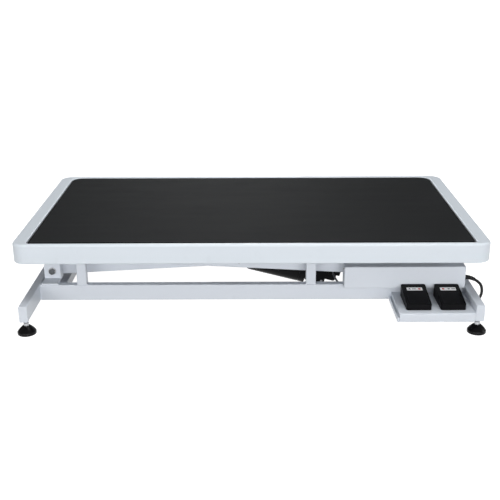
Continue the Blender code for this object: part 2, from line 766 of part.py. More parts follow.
def build_centre_bolts():
    """Shoulder bolts through both arms where they cross."""
    head_end = ARM_B_OUT + GAP + WASHER_THICK + BOLT_HEAD_HEIGHT
    for side, sign in SIDES:
        profile = [
            (0.0, head_end - 0.0007),
            (SHAFT_RADIUS, head_end - 0.0007),
            (SHAFT_RADIUS, ARM_B_OUT + GAP + WASHER_THICK),
            (WASHER_RADIUS, ARM_B_OUT + GAP + WASHER_THICK),
            (WASHER_RADIUS, ARM_B_OUT + GAP),
            (SHAFT_RADIUS, ARM_B_OUT + GAP),
            (SHAFT_RADIUS, ARM_B_IN - GAP),
            (WASHER_RADIUS, ARM_B_IN - GAP),
            (WASHER_RADIUS, ARM_A_OUT + GAP),
            (SHAFT_RADIUS, ARM_A_OUT + GAP),
            (SHAFT_RADIUS, ARM_A_IN - GAP),
            (WASHER_RADIUS, ARM_A_IN - GAP),
            (WASHER_RADIUS, ARM_A_IN - GAP - WASHER_THICK),
            (SHAFT_RADIUS, ARM_A_IN - GAP - WASHER_THICK),
            (SHAFT_RADIUS, ARM_A_IN - GAP - WASHER_THICK - BOLT_HEAD_HEIGHT - 0.002),
            (0.0, ARM_A_IN - GAP - WASHER_THICK - BOLT_HEAD_HEIGHT - 0.002),
        ]
        mesh = turned(profile, "Y", 16)
        if sign < 0:
            mesh.transform(Matrix.Rotation(math.pi, 4, "Z"))
        bolt = new_part("centre_bolt_" + side, mesh, "zinc", (CENTRE_X, 0, CENTRE_Z))
        low, high = between(sign, ARM_B_OUT + WASHER_THICK, head_end)
        join(bolt, cylinder((0, 0, 0), BOLT_HEAD_RADIUS, low, high, "Y", 6), "head")
        nut_in = ARM_A_IN - GAP - WASHER_THICK - BOLT_HEAD_HEIGHT
        low, high = between(sign, nut_in, ARM_A_IN - WASHER_THICK - 0.0001)
        join(bolt, cylinder((0, 0, 0), BOLT_HEAD_RADIUS, low, high, "Y", 6), "nut")


def roller_profile(radius):
    """Half the section of a roller: a bore, a hub, a thin web and a rounded tread."""
    bore = SHAFT_RADIUS + RUNNING_GAP
    half = ROLLER_WIDTH / 2
    web = half - ROLLER_WEB_SINK
    tread = radius - ROLLER_TREAD
    hub = SPACER_RADIUS + 0.001
    return [
        (bore, half),
        (hub, half),
        (hub + 0.001, web),
        (tread - 0.001, web),
        (tread, half),
        (radius - ROLLER_CHAMFER, half),
        (radius, half - ROLLER_CHAMFER),
        (radius, -half + ROLLER_CHAMFER),
        (radius - ROLLER_CHAMFER, -half),
        (tread, -half),
        (tread - 0.001, -web),
        (hub + 0.001, -web),
        (hub, -half),
        (bore, -half),
    ]


def build_rollers():
    base_y = (BASE_ROLLER_IN + BASE_ROLLER_OUT) / 2
    top_y = (TOP_ROLLER_IN + TOP_ROLLER_OUT) / 2
    kinds = (
        ("base_roller_", BASE_ROLLER_RADIUS, base_y, LOWER_PIVOT_Z),
        ("top_roller_", TOP_ROLLER_RADIUS, top_y, UPPER_PIVOT_Z),
    )
    for start, radius, y, z in kinds:
        for side, sign in SIDES:
            mesh = turned(roller_profile(radius), "Y", 24, closed=True)
            new_part(start + side, mesh, "nylon", (ROLLER_X, sign * y, z))


def build_top_shaft():
    """The stepped shaft across the inner arms that carries the upper rollers."""
    reach = ARM_B_IN - 0.0005
    step = TOP_ROLLER_IN - GAP
    half = [
        (0.0, reach),
        (SHAFT_RADIUS, reach),
        (SHAFT_RADIUS, step),
        (CROSS_TUBE_RADIUS - 0.001, step),
        (CROSS_TUBE_RADIUS, step - 0.001),
    ]
    profile = half + [(radius, -place) for radius, place in reversed(half)]
    at = (ROLLER_X, 0, UPPER_PIVOT_Z)
    new_part("top_roller_shaft", turned(profile, "Y", 24), "zinc", at)


def pipe(radius, wall, reach):
    """An open round tube along Y."""
    inner = radius - wall
    profile = [(radius, reach), (radius, -reach), (inner, -reach), (inner, reach)]
    return turned(profile, "Y", 24, True)


def build_lift_tube():
    """The round tube that ties the inner arms, with the levers that the actuator pushes."""
    at = (PIVOT_X, 0, LOWER_PIVOT_Z)
    reach = ARM_A_IN - GAP
    tube = moved(pipe(LIFT_TUBE_RADIUS, LIFT_TUBE_WALL, reach), (LIFT_TUBE_AT, 0, 0))
    lift_tube = new_part("lift_tube", tube, "paint", at, -REST_ANGLE)
    eye = (LIFT_TUBE_AT + LEVER_ALONG, LEVER_RISE)
    plate = link_outline((LIFT_TUBE_AT, 0), LIFT_TUBE_RADIUS + 0.006, eye, EYE_RADIUS + 0.001)
    bore = arc((LIFT_TUBE_AT, 0), LIFT_TUBE_RADIUS - 0.001, 0, 342, 19)
    inside = EYE_WIDTH / 2 + GAP
    for side, sign in SIDES:
        low, high = between(sign, inside, inside + LEVER_THICK)
        join(lift_tube, outline([plate, bore], low, high, "XZ"), side + "_lever")
        washer = inside + LEVER_THICK + WASHER_THICK
        low, high = between(sign, washer - WASHER_THICK - 0.0005, washer)
        centre = (eye[0], 0, eye[1])
        join(lift_tube, cylinder(centre, WASHER_RADIUS, low, high, "Y", 20), side + "_washer")
        low, high = between(sign, washer - 0.0005, washer + BOLT_HEAD_HEIGHT)
        join(lift_tube, cylinder(centre, BOLT_HEAD_RADIUS, low, high, "Y", 6), side + "_head")


def build_outer_arm_ties():
    """Round tubes that tie the outer arms: one round the upper pivot shaft, one low down."""
    at = (CENTRE_X, 0, CENTRE_Z)
    half = ARM_LENGTH / 2
    reach = ARM_B_IN - GAP
    upper_wall = UPPER_TUBE_RADIUS - SHAFT_RADIUS - RUNNING_GAP
    upper = moved(pipe(UPPER_TUBE_RADIUS, upper_wall, reach), (-half, 0, 0))
    new_part("outer_arm_upper_tie", upper, "paint", at, REST_ANGLE)
    lower = moved(
        pipe(LOWER_TUBE_RADIUS, LIFT_TUBE_WALL, reach),
        (LOWER_TUBE_AT - half, 0, -LOWER_TUBE_DROP),
    )
    new_part("outer_arm_lower_tie", lower, "paint", at, REST_ANGLE)


def build_actuator_beam():
    """The base cross-member, with the clevis for the actuator's rear eye."""
    left = CLEVIS_X + BEAM_FROM_CLEVIS
    top = TRACK_TOP - TRACK_THICK - GAP
    reach = RAIL_BACK_Y - GAP - TRACK_THICK - GAP
    low = top - BEAM_HEIGHT
    loops = [
        rounded_outline((left, low), (left + BEAM_WIDTH, top), (TUBE_CORNER,) * 4, 3),
        rounded_outline(
            (left + TUBE_WALL, low + TUBE_WALL),
            (left + BEAM_WIDTH - TUBE_WALL, top - TUBE_WALL),
            (TUBE_CORNER / 2,) * 4,
            2,
        ),
    ]
    beam = new_part("actuator_beam", outline(loops, -reach, reach, "XZ"), "paint")
    inside = EYE_WIDTH / 2 + GAP
    root_height = (low + top) / 2
    plate = link_outline(
        (CLEVIS_X, CLEVIS_HEIGHT), EYE_RADIUS, (left + 0.006, root_height), BEAM_HEIGHT / 2 - 0.002
    )
    hole = arc((CLEVIS_X, CLEVIS_HEIGHT), PIN_RADIUS + RUNNING_GAP, 0, 342, 19)
    for side, sign in SIDES:
        low_y, high_y = between(sign, inside, inside + CLEVIS_PLATE)
        join(beam, outline([plate, hole], low_y, high_y, "XZ"), side + "_ear")
    head = inside + CLEVIS_PLATE + GAP
    half = [
        (0.0, head + WASHER_THICK + 0.004),
        (PIN_RADIUS + 0.001, head + WASHER_THICK + 0.004),
        (PIN_RADIUS + 0.001, head + WASHER_THICK),
        (PIN_RADIUS + 0.004, head + WASHER_THICK),
        (PIN_RADIUS + 0.004, head),
        (PIN_RADIUS, head),
    ]
    profile = half + [(radius, -place) for radius, place in reversed(half)]
    at = (CLEVIS_X, 0, CLEVIS_HEIGHT)
    new_part("clevis_pin", turned(profile, "Y", 20), "zinc", at)


def actuator_axis():
    """The tilt and the pin-to-pin length of the retracted actuator."""
    along = LIFT_TUBE_AT + LEVER_ALONG
    sine = math.sin(REST_ANGLE)
    cosine = math.cos(REST_ANGLE)
    eye_x = PIVOT_X + along * cosine - LEVER_RISE * sine
    eye_z = LOWER_PIVOT_Z + along * sine + LEVER_RISE * cosine
    reach = CLEVIS_X - eye_x
    rise = eye_z - CLEVIS_HEIGHT
    return math.atan2(rise, reach), math.hypot(reach, rise)


def build_actuator():
    """The electric actuator: rear gearbox, motor beside the tube, and the push rod."""
    tilt, length = actuator_axis()
    pivot = bpy.data.objects.new("actuator_pivot", None)
    parts.objects.link(pivot)
    pivot.location = (CLEVIS_X, 0, CLEVIS_HEIGHT)
    pivot.rotation_euler = (0, tilt, 0)
    gearbox_end = GEARBOX_START + GEARBOX_LENGTH
    low = (-gearbox_end, -GEARBOX_FRONT_SIDE, -GEARBOX_BOTTOM)
    high = (-GEARBOX_START, GEARBOX_REAR_SIDE, GEARBOX_TOP)
    gearbox = new_part(
        "actuator_gearbox", block(low, high, GEARBOX_ROUND, None, 3), "black_plastic", parent=pivot
    )
    step_start = -GEARBOX_START - GEARBOX_STEP_LENGTH
    corner_low = (step_start, -GEARBOX_FRONT_SIDE - 0.01, -GEARBOX_BOTTOM - 0.01)
    corner_high = (-GEARBOX_START + 0.01, -GEARBOX_STEP_SIDE, -GEARBOX_STEP_TOP)
    cut(gearbox, block(corner_low, corner_high, 0.004, "Y"), "step")
    neck = link_outline((0, 0), EYE_RADIUS, (-GEARBOX_START - 0.012, 0), EYE_RADIUS + 0.0005)
    hole = arc((0, 0), PIN_RADIUS + RUNNING_GAP, 0, 342, 19)
    join(gearbox, outline([neck, hole], -EYE_WIDTH / 2, EYE_WIDTH / 2, "XZ"), "rear_eye")
    tube_start = gearbox_end + GAP
    bore = ROD_RADIUS + ROD_BORE_GAP
    bore_end = ROD_TAIL - ROD_BORE_SPARE
    profile = [
        (0.0, -tube_start),
        (ACTUATOR_TUBE_RADIUS, -tube_start),
        (ACTUATOR_TUBE_RADIUS, -ACTUATOR_TUBE_END + COLLAR_LENGTH),
        (ACTUATOR_TUBE_RADIUS + COLLAR_STEP, -ACTUATOR_TUBE_END + COLLAR_LENGTH - 0.001),
        (ACTUATOR_TUBE_RADIUS + COLLAR_STEP, -ACTUATOR_TUBE_END + COLLAR_NOSE),
        (ACTUATOR_TUBE_RADIUS - COLLAR_STEP, -ACTUATOR_TUBE_END),
        (bore, -ACTUATOR_TUBE_END),
        (bore, -bore_end),
        (0.0, -bore_end),
    ]
    new_part("actuator_tube", turned(profile, "X", 28), "black_metal", parent=pivot)
    nose_start = -tube_start - MOTOR_LENGTH + MOTOR_NOSE
    nose_step = MOTOR_RADIUS - MOTOR_NOSE_RADIUS
    motor_profile = [
        (0.0, -tube_start),
        (MOTOR_RADIUS, -tube_start),
        (MOTOR_RADIUS, nose_start),
        (MOTOR_RADIUS - nose_step / 4, nose_start - MOTOR_NOSE / 2),
        (MOTOR_RADIUS - nose_step * 3 / 4, nose_start - MOTOR_NOSE * 7 / 8),
        (MOTOR_NOSE_RADIUS, nose_start - MOTOR_NOSE),
        (0.0, nose_start - MOTOR_NOSE),
    ]
    motor = moved(turned(motor_profile, "X", 24), (0, MOTOR_Y, -MOTOR_DROP))
    new_part("actuator_motor", motor, "black_metal", parent=pivot)
    rod_profile = [
        (0.0, -ROD_TAIL),
        (ROD_RADIUS, -ROD_TAIL),
        (ROD_RADIUS, -length + EYE_RADIUS - ROD_IN_EYE),
        (0.0, -length + EYE_RADIUS - ROD_IN_EYE),
    ]
    rod = new_part("actuator_rod", turned(rod_profile, "X", 20), "zinc", parent=pivot)
    eye = cylinder((-length, 0, 0), EYE_RADIUS, -EYE_WIDTH / 2, EYE_WIDTH / 2, "Y", 24)
    join(rod, eye, "front_eye")


def build_rim():
    """The raised rim: a folded profile, open underneath, with soft outer corners."""
    outer = rounded_outline(
        (-HALF_LENGTH, -HALF_DEPTH), (HALF_LENGTH, HALF_DEPTH), (RIM_CORNER,) * 4, 7
    )
    mesh = outline([outer], RIM_BOTTOM, TABLE_TOP, "XY")
    bm = bmesh.new()
    bm.from_mesh(mesh)
    chosen = []
    for edge in bm.edges:
        heights = [v.co.z for v in edge.verts]
        if min(heights) > TABLE_TOP - 1e-5 and len(edge.link_faces) == 2:
            if edge.calc_face_angle(0) > 1.0:
                chosen.append(edge)
    bmesh.ops.bevel(
        bm,
        geom=chosen,
        offset=RIM_TOP_ROUND,
        offset_type="OFFSET",
        segments=4,
        profile=0.5,
        affect="EDGES",
    )
    rim = new_part("table_rim", mesh_from(bm), "paint")
    radii = (
        OPENING_FRONT_CORNER,
        OPENING_FRONT_CORNER,
        OPENING_REAR_CORNER,
        OPENING_REAR_CORNER,
    )
    opening = rounded_outline((-OPENING_X, -OPENING_Y), (OPENING_X, OPENING_Y), radii, 5)
    cut(rim, outline([opening], RIM_BOTTOM - 0.01, TABLE_TOP + 0.01, "XY"), "opening")
    groove_out = rounded_outline(
        (-HALF_LENGTH + RIM_WALL, -HALF_DEPTH + RIM_WALL),
        (HALF_LENGTH - RIM_WALL, HALF_DEPTH - RIM_WALL),
        (RIM_CORNER - RIM_WALL,) * 4,
        6,
    )
    wall_x = OPENING_X + RIM_WALL
    wall_y = OPENING_Y + RIM_WALL
    groove_in = rounded_outline(
        (-wall_x, -wall_y), (wall_x, wall_y), tuple(r + RIM_WALL for r in radii), 4
    )
    groove = outline([groove_out, groove_in], RIM_BOTTOM - 0.01, TABLE_TOP - RIM_WALL, "XY")
    cut(rim, groove, "underside")


def inset_outline(gap, steps):
    """The rim's opening, drawn in all round by a gap."""
    front = max(OPENING_FRONT_CORNER - gap, 0.001)
    rear = max(OPENING_REAR_CORNER - gap, 0.001)
    low = (-OPENING_X + gap, -OPENING_Y + gap)
    high = (OPENING_X - gap, OPENING_Y - gap)
    return rounded_outline(low, high, (front, front, rear, rear), steps)


def build_deck():
    """The plywood board inside the rim and the rubber mat on it."""
    board = outline([inset_outline(GAP, 5)], BOARD_BOTTOM, BOARD_TOP, "XY")
    new_part("table_board", board, "plywood")
    mat = outline([inset_outline(MAT_GAP, 6)], BOARD_TOP + GAP, MAT_TOP, "XY")
    new_part("table_mat", mat, "rubber")


def build_top_frame():
    """The steel frame under the board: two channels, two cross bars and short outriggers."""
    end_x = OPENING_X - GAP
    end_y = OPENING_Y - GAP
    bar_left = ROLLER_X + ARM_END * math.sqrt(2) + RIGHT_BAR_PAST_ARM
    reach = OPENING_Y - OPENING_REAR_CORNER
    mesh = block((bar_left, -reach, FRAME_BOTTOM), (end_x, reach, FRAME_TOP))
    frame = new_part("top_frame", mesh, "paint")
    hollow_low = (bar_left + FRAME_WALL, -reach - 0.01, FRAME_BOTTOM + FRAME_WALL)
    hollow_high = (end_x - FRAME_WALL, reach + 0.01, FRAME_TOP - FRAME_WALL)
    cut(frame, block(hollow_low, hollow_high), "bar_hollow")
    for side, sign in SIDES:
        loop = [
            (sign * CHANNEL_OUT_Y, FRAME_BOTTOM),
            (sign * CHANNEL_IN_Y, FRAME_BOTTOM),
            (sign * CHANNEL_IN_Y, FRAME_TOP),
            (sign * CHANNEL_OUT_Y, FRAME_TOP),
            (sign * CHANNEL_OUT_Y, FRAME_TOP - FRAME_WALL),
            (sign * (CHANNEL_IN_Y + FRAME_WALL), FRAME_TOP - FRAME_WALL),
            (sign * (CHANNEL_IN_Y + FRAME_WALL), FRAME_BOTTOM + FRAME_WALL),
            (sign * CHANNEL_OUT_Y, FRAME_BOTTOM + FRAME_WALL),
        ]
        join(frame, outline([loop], -end_x, bar_left + 0.001, "YZ"), side + "_channel")
        low_y, high_y = between(sign, CHANNEL_IN_Y + 0.001, end_y)
        low = (-OUTRIGGER_WIDTH / 2, low_y, FRAME_TOP - OUTRIGGER_HEIGHT)
        high = (OUTRIGGER_WIDTH / 2, high_y, FRAME_TOP - GAP)
        outrigger = block(low, high)
        join(frame, outrigger, side + "_outrigger")
    left_x = PIVOT_X + LEFT_BAR_FROM_PIVOT
    low = (left_x, -end_y, FRAME_TOP - LEFT_BAR_DROP)
    high = (left_x + CROSS_BAR_WIDTH, end_y, FRAME_TOP)
    join(frame, block(low, high), "left_bar")


def build_top_tracks():
    """Channels under the board, on which the upper rollers run."""
    middle = (TOP_ROLLER_IN + TOP_ROLLER_OUT) / 2
    left_x = TRACK_LEFT_X
    right_x = ROLLER_X + TOP_TRACK_PAST_ROLLER
    for side, sign in SIDES:
        low_y, high_y = between(sign, middle - TOP_TRACK_WIDTH / 2, middle + TOP_TRACK_WIDTH / 2)
        low = (left_x, low_y, TOP_TRACK_BOTTOM)
        high = (right_x, high_y, FRAME_TOP)
        track = new_part("top_track_" + side, block(low, high), "zinc")
        inner_low = (left_x - 0.01, low_y + FRAME_WALL, TOP_TRACK_BOTTOM + FRAME_WALL)
        inner_high = (right_x + 0.01, high_y - FRAME_WALL, FRAME_TOP + 0.01)
        cut(track, block(inner_low, inner_high), "channel")


def build_top_brackets():
    """Bent plates that hang from the top frame and hold the upper pivot."""
    low_x = PIVOT_X - BRACKET_WIDTH / 2
    high_x = PIVOT_X + BRACKET_WIDTH / 2
    low_z = UPPER_PIVOT_Z - ARM_END
    for side, sign in SIDES:
        flange = sign * (CHANNEL_IN_Y - GAP)
        loop = [
            (sign * BRACKET_IN, low_z),
            (sign * BRACKET_IN, FRAME_TOP),
            (flange, FRAME_TOP),
            (flange, FRAME_TOP - BRACKET_THICK),
            (sign * BRACKET_OUT, FRAME_TOP - BRACKET_THICK),
            (sign * BRACKET_OUT, low_z),
        ]
        mesh = round_corners(outline([loop], low_x, high_x, "YZ"), low_z, BRACKET_CORNER)
        bracket = new_part("top_bracket_" + side, mesh, "paint")
        hole = shaft_hole((PIVOT_X, 0, UPPER_PIVOT_Z), sign, BRACKET_IN, BRACKET_OUT)
        cut(bracket, hole, "pivot_hole")


def build_control_box():
    """The sheet-metal cover on the front rail, its back plate and the circuit inside."""
    back_y = -(RAIL_BACK_Y + BOX_BACK_SINK)
    plate_y = back_y - BOX_WALL
    foot_z = RAIL_TOP + GAP
    skirt_z = RAIL_TOP - BOX_SKIRT
    loop = [
        (BOX_FRONT_Y, skirt_z),
        (-RAIL_FACE_Y - GAP, skirt_z),
        (-RAIL_FACE_Y - GAP, foot_z),
        (plate_y - GAP, foot_z),
        (plate_y - GAP, BOX_TOP),
        (BOX_FRONT_Y, BOX_TOP),
    ]
    mesh = outline([loop], BOX_LEFT_X, BOX_RIGHT_X, "YZ")
    bm = bmesh.new()
    bm.from_mesh(mesh)
    chosen = []
    for edge in bm.edges:
        front = all(v.co.y < BOX_FRONT_Y + 1e-5 for v in edge.verts)
        top = all(v.co.z > BOX_TOP - 1e-5 for v in edge.verts)
        if (front or top) and len(edge.link_faces) == 2 and edge.calc_face_angle(0) > 1.0:
            chosen.append(edge)
    bmesh.ops.bevel(
        bm,
        geom=chosen,
        offset=BOX_ROUND,
        offset_type="OFFSET",
        segments=3,
        profile=0.5,
        affect="EDGES",
    )
    cover = new_part("box_cover", mesh_from(bm), "paint")
    floor_z = foot_z + BOX_WALL
    low = (BOX_LEFT_X + BOX_WALL, BOX_FRONT_Y + BOX_WALL, floor_z)
    high = (BOX_RIGHT_X - BOX_WALL, back_y + 0.01, BOX_TOP - BOX_WALL)
    cut(cover, block(low, high, BOX_ROUND / 2, "X", 2), "hollow")
    low = (BOX_LEFT_X + GAP, plate_y, foot_z)
    high = (BOX_RIGHT_X - GAP, back_y, BOX_TOP - GAP)
    new_part("box_back", block(low, high), "paint")
    middle_x = (BOX_LEFT_X + BOX_RIGHT_X) / 2
    low_x = middle_x - BOARD_LENGTH / 2
    low_z = floor_z + BOARD_ABOVE_FLOOR
    sheet_y = plate_y - GAP - BOARD_SHEET
    low = (low_x, sheet_y, low_z)
    high = (low_x + BOARD_LENGTH, plate_y - GAP, low_z + BOARD_HEIGHT)
    circuit = new_part("control_board", block(low, high), "circuit")
    depth = sheet_y - (BOX_FRONT_Y + BOX_WALL) - BOARD_TO_COVER
    pieces = (
        ("transformer", 0.010, 0.062, 0.002, 0.032, 1.0),
        ("relay_one", 0.076, 0.018, 0.004, 0.014, 0.6),
        ("relay_two", 0.098, 0.018, 0.004, 0.014, 0.6),
        ("capacitor", 0.122, 0.016, 0.004, 0.016, 0.85),
        ("terminals", 0.145, 0.030, 0.003, 0.010, 0.5),
    )
    for name, start, width, up, height, share in pieces:
        low = (low_x + start, sheet_y - depth * share, low_z + up)
        high = (low_x + start + width, sheet_y + 0.0005, low_z + up + height)
        join(circuit, block(low, high), name)


def gland_line(length):
    """The place and the heading of the strain relief's bent centreline, at a length along it."""
    y = -(RAIL_BACK_Y + RAIL_FACE_Y) / 2 - GLAND_FORWARD
    start = Vector((BOX_RIGHT_X + GAP + GLAND_FLANGE, y, GLAND_HEIGHT))
    angle = length / GLAND_BEND
    reach = Vector((math.sin(angle), 0, math.cos(angle) - 1)) * GLAND_BEND
    return start + reach, Vector((math.cos(angle), 0, -math.sin(angle)))


def build_gland():
    """The tapered strain relief, bent by the mains cord where it leaves the box."""
    narrow = CORD_DIAMETER / 2 + RELIEF_WALL
    wide = GLAND_RADIUS - GLAND_TAPER
    steps = 8
    points = [gland_line(0)[0] - Vector((GLAND_FLANGE / 2, 0, 0))]
    radii = [wide]
    for i in range(steps + 1):
        points.append(gland_line(GLAND_LENGTH * i / steps)[0])
        radii.append(wide + (narrow - wide) * i / steps)
    gland = cable("cord_gland", points, 2 * wide, "rubber", 6, radii)
    y = points[0].y
    start = BOX_RIGHT_X + GAP
    flange = cylinder((0, y, GLAND_HEIGHT), GLAND_RADIUS, start, start + GLAND_FLANGE, "X")
    join(gland, flange, "flange")


def build_pedal_tray():
    """The folded tray in front of the rail that carries the pedals."""
    back_y = -RAIL_FACE_Y - GAP
    low_z = TRAY_TOP - TRAY_LIP
    right_x = BAR_IN_X - GAP
    low = (TRAY_LEFT_X, TRAY_FRONT_Y, low_z)
    high = (right_x, back_y, TRAY_TOP)
    tray = new_part("pedal_tray", block(low, high, TRAY_BEND, "X"), "paint")
    inner_low = (TRAY_LEFT_X + TRAY_SHEET, TRAY_FRONT_Y + TRAY_SHEET, low_z - 0.01)
    inner_high = (right_x - TRAY_SHEET, back_y - TRAY_SHEET, TRAY_TOP - TRAY_SHEET)
    cut(tray, block(inner_low, inner_high), "underside")


def pedal_surface(y):
    """Height of the pedal housing's sloping top at a given Y."""
    share = (y - PEDAL_FRONT_Y) / (PEDAL_BACK_Y - PEDAL_FRONT_Y)
    rise = PEDAL_FRONT_HEIGHT + (PEDAL_BACK_HEIGHT - PEDAL_FRONT_HEIGHT) * share
    return TRAY_TOP + GAP + rise


def build_pedals():
    """Two foot switches: a wedge-shaped housing with a hinged treadle let into it."""
    base = TRAY_TOP + GAP
    well_back = PEDAL_BACK_Y - PEDAL_LABEL_DEPTH
    well_front = PEDAL_FRONT_Y + PEDAL_WALL
    half = PEDAL_WIDTH / 2
    pivot_y = well_back - TREADLE_PIVOT_INSET
    pivot_z = pedal_surface(pivot_y) - TREADLE_THICK / 2
    for name, x in (("left_pedal", PEDAL_LEFT_X), ("right_pedal", PEDAL_RIGHT_X)):
        side = [
            (PEDAL_FRONT_Y, base),
            (PEDAL_BACK_Y, base),
            (PEDAL_BACK_Y, pedal_surface(PEDAL_BACK_Y)),
            (PEDAL_FRONT_Y, pedal_surface(PEDAL_FRONT_Y)),
        ]
        mesh = round_verticals(outline([side], x - half, x + half, "YZ"), PEDAL_CORNER)
        housing = new_part(name + "_housing", mesh, "black_plastic")
        floor_z = pedal_surface(well_front) - TREADLE_THICK - TREADLE_PRESS
        low = (x - half + PEDAL_WALL, well_front, floor_z)
        high = (x + half - PEDAL_WALL, well_back, base + PEDAL_BACK_HEIGHT + 0.01)
        cut(housing, block(low, high, WELL_ROUND, "Z", 2), "well")
        socket = TRUNNION_RADIUS + RUNNING_GAP
        reach = half - PEDAL_WALL + TRUNNION_REACH
        centre = (x, pivot_y, pivot_z)
        cut(housing, cylinder(centre, socket, x - reach - GAP, x + reach + GAP, "X", 12), "sockets")
        front = well_front + TREADLE_GAP
        back = well_back - TREADLE_GAP
        plate_side = [
            (front, pedal_surface(front) - TREADLE_THICK),
            (back, pedal_surface(back) - TREADLE_THICK),
            (back, pedal_surface(back)),
            (front, pedal_surface(front)),
        ]
        plate_side = [(y - pivot_y, z - pivot_z) for y, z in plate_side]
        wide = half - PEDAL_WALL - TREADLE_GAP
        plate = outline([plate_side], -wide, wide, "YZ")
        treadle = new_part(name + "_treadle", plate, "black_plastic", centre)
        join(treadle, cylinder((0, 0, 0), TRUNNION_RADIUS, -reach, reach, "X", 12), "trunnion")


def round_verticals(mesh, radius):
    """Rounds the upright edges of a housing."""
    bm = bmesh.new()
    bm.from_mesh(mesh)
    chosen = []
    for edge in bm.edges:
        one, two = (v.co for v in edge.verts)
        upright = abs(one.x - two.x) < 1e-5 and abs(one.y - two.y) < 1e-5
        if upright and len(edge.link_faces) == 2:
            chosen.append(edge)
    bmesh.ops.bevel(
        bm,
        geom=chosen,
        offset=radius,
        offset_type="OFFSET",
        segments=4,
        profile=0.5,
        affect="EDGES",
    )
    return mesh_from(bm)


def smooth_route(points, spacing):
    """Evenly spaced points on a smooth curve through the route's own points."""
    points = [Vector(p) for p in points]
    ends = [2 * points[0] - points[1]] + points + [2 * points[-1] - points[-2]]
    dense = []
    for i in range(1, len(ends) - 2):
        before, one, two, after = ends[i - 1 : i + 3]
        for step in range(24):
            t = step / 24
            dense.append(
                0.5
                * (
                    2 * one
                    + (two - before) * t
                    + (2 * before - 5 * one + 4 * two - after) * t**2
                    + (3 * one - before - 3 * two + after) * t**3
                )
            )
    dense.append(points[-1])
    run = [0.0]
    for one, two in zip(dense, dense[1:]):
        run.append(run[-1] + (two - one).length)
    count = max(2, round(run[-1] / spacing))
    even = []
    place = 0
    for i in range(count + 1):
        goal = run[-1] * i / count
        while place < len(run) - 2 and run[place + 1] < goal:
            place += 1
        share = (goal - run[place]) / (run[place + 1] - run[place])
        even.append(dense[place].lerp(dense[place + 1], share))
    return even


def routed(route, spacing):
    """A smooth route whose first and last stretches stay straight."""
    return [Vector(route[0])] + smooth_route(route[1:-1], spacing) + [Vector(route[-1])]


def cable(name, points, diameter, finish, resolution, radii=None):
    """A round cable through its points, with closed ends and maybe a taper."""
    curve = bpy.data.curves.new(name, "CURVE")
    curve.dimensions = "3D"
    curve.bevel_depth = diameter / 2
    curve.bevel_resolution = resolution
    curve.use_fill_caps = True
    spline = curve.splines.new("POLY")
    spline.points.add(len(points) - 1)
    for index, place in enumerate(points):
        spline.points[index].co = (*place, 1)
        if radii:
            spline.points[index].radius = radii[index] / (diameter / 2)
    thing = bpy.data.objects.new(name, curve)
    bpy.context.scene.collection.objects.link(thing)
    return new_part(name, to_mesh(thing), finish)


def coil_points():
    """Centreline of the put-away coil: in along the floor, up a layer, and out again."""
    lying = CORD_DIAMETER / 2 + GAP
    start_radius = COIL_RADIUS + COIL_PITCH * COIL_TURNS_IN / 2
    climb_end = COIL_TURNS_IN + 0.5
    reverse_at = COIL_TURNS_IN + 0.25
    steps = round((climb_end + COIL_TURNS_OUT) * 24)
    points = []
    for i in range(steps + 1):
        turn = i / 24
        radius = start_radius - COIL_PITCH * (reverse_at - abs(turn - reverse_at))
        climb = min(max(turn - COIL_TURNS_IN, 0.0), 0.5) / 0.5
        height = lying + COIL_PITCH * climb
        angle = 2 * math.pi * turn
        points.append(
            Vector((COIL_X + radius * math.cos(angle), COIL_Y + radius * math.sin(angle), height))
        )
    lead_in = points[0] - Vector((0, CORD_DIAMETER, 0))
    lead_out = points[-1] - Vector((COIL_TAIL, 0, 0))
    return [lead_in] + points + [lead_out]


def least_self_gap(points, diameter):
    """The smallest gap between stretches of a tube that aren't neighbours along it."""
    fine = smooth_route(points, diameter / 4)
    least = 1.0
    apart = 24
    for i in range(0, len(fine), 2):
        for j in range(i + apart, len(fine), 2):
            least = min(least, (fine[i] - fine[j]).length)
    return least - diameter


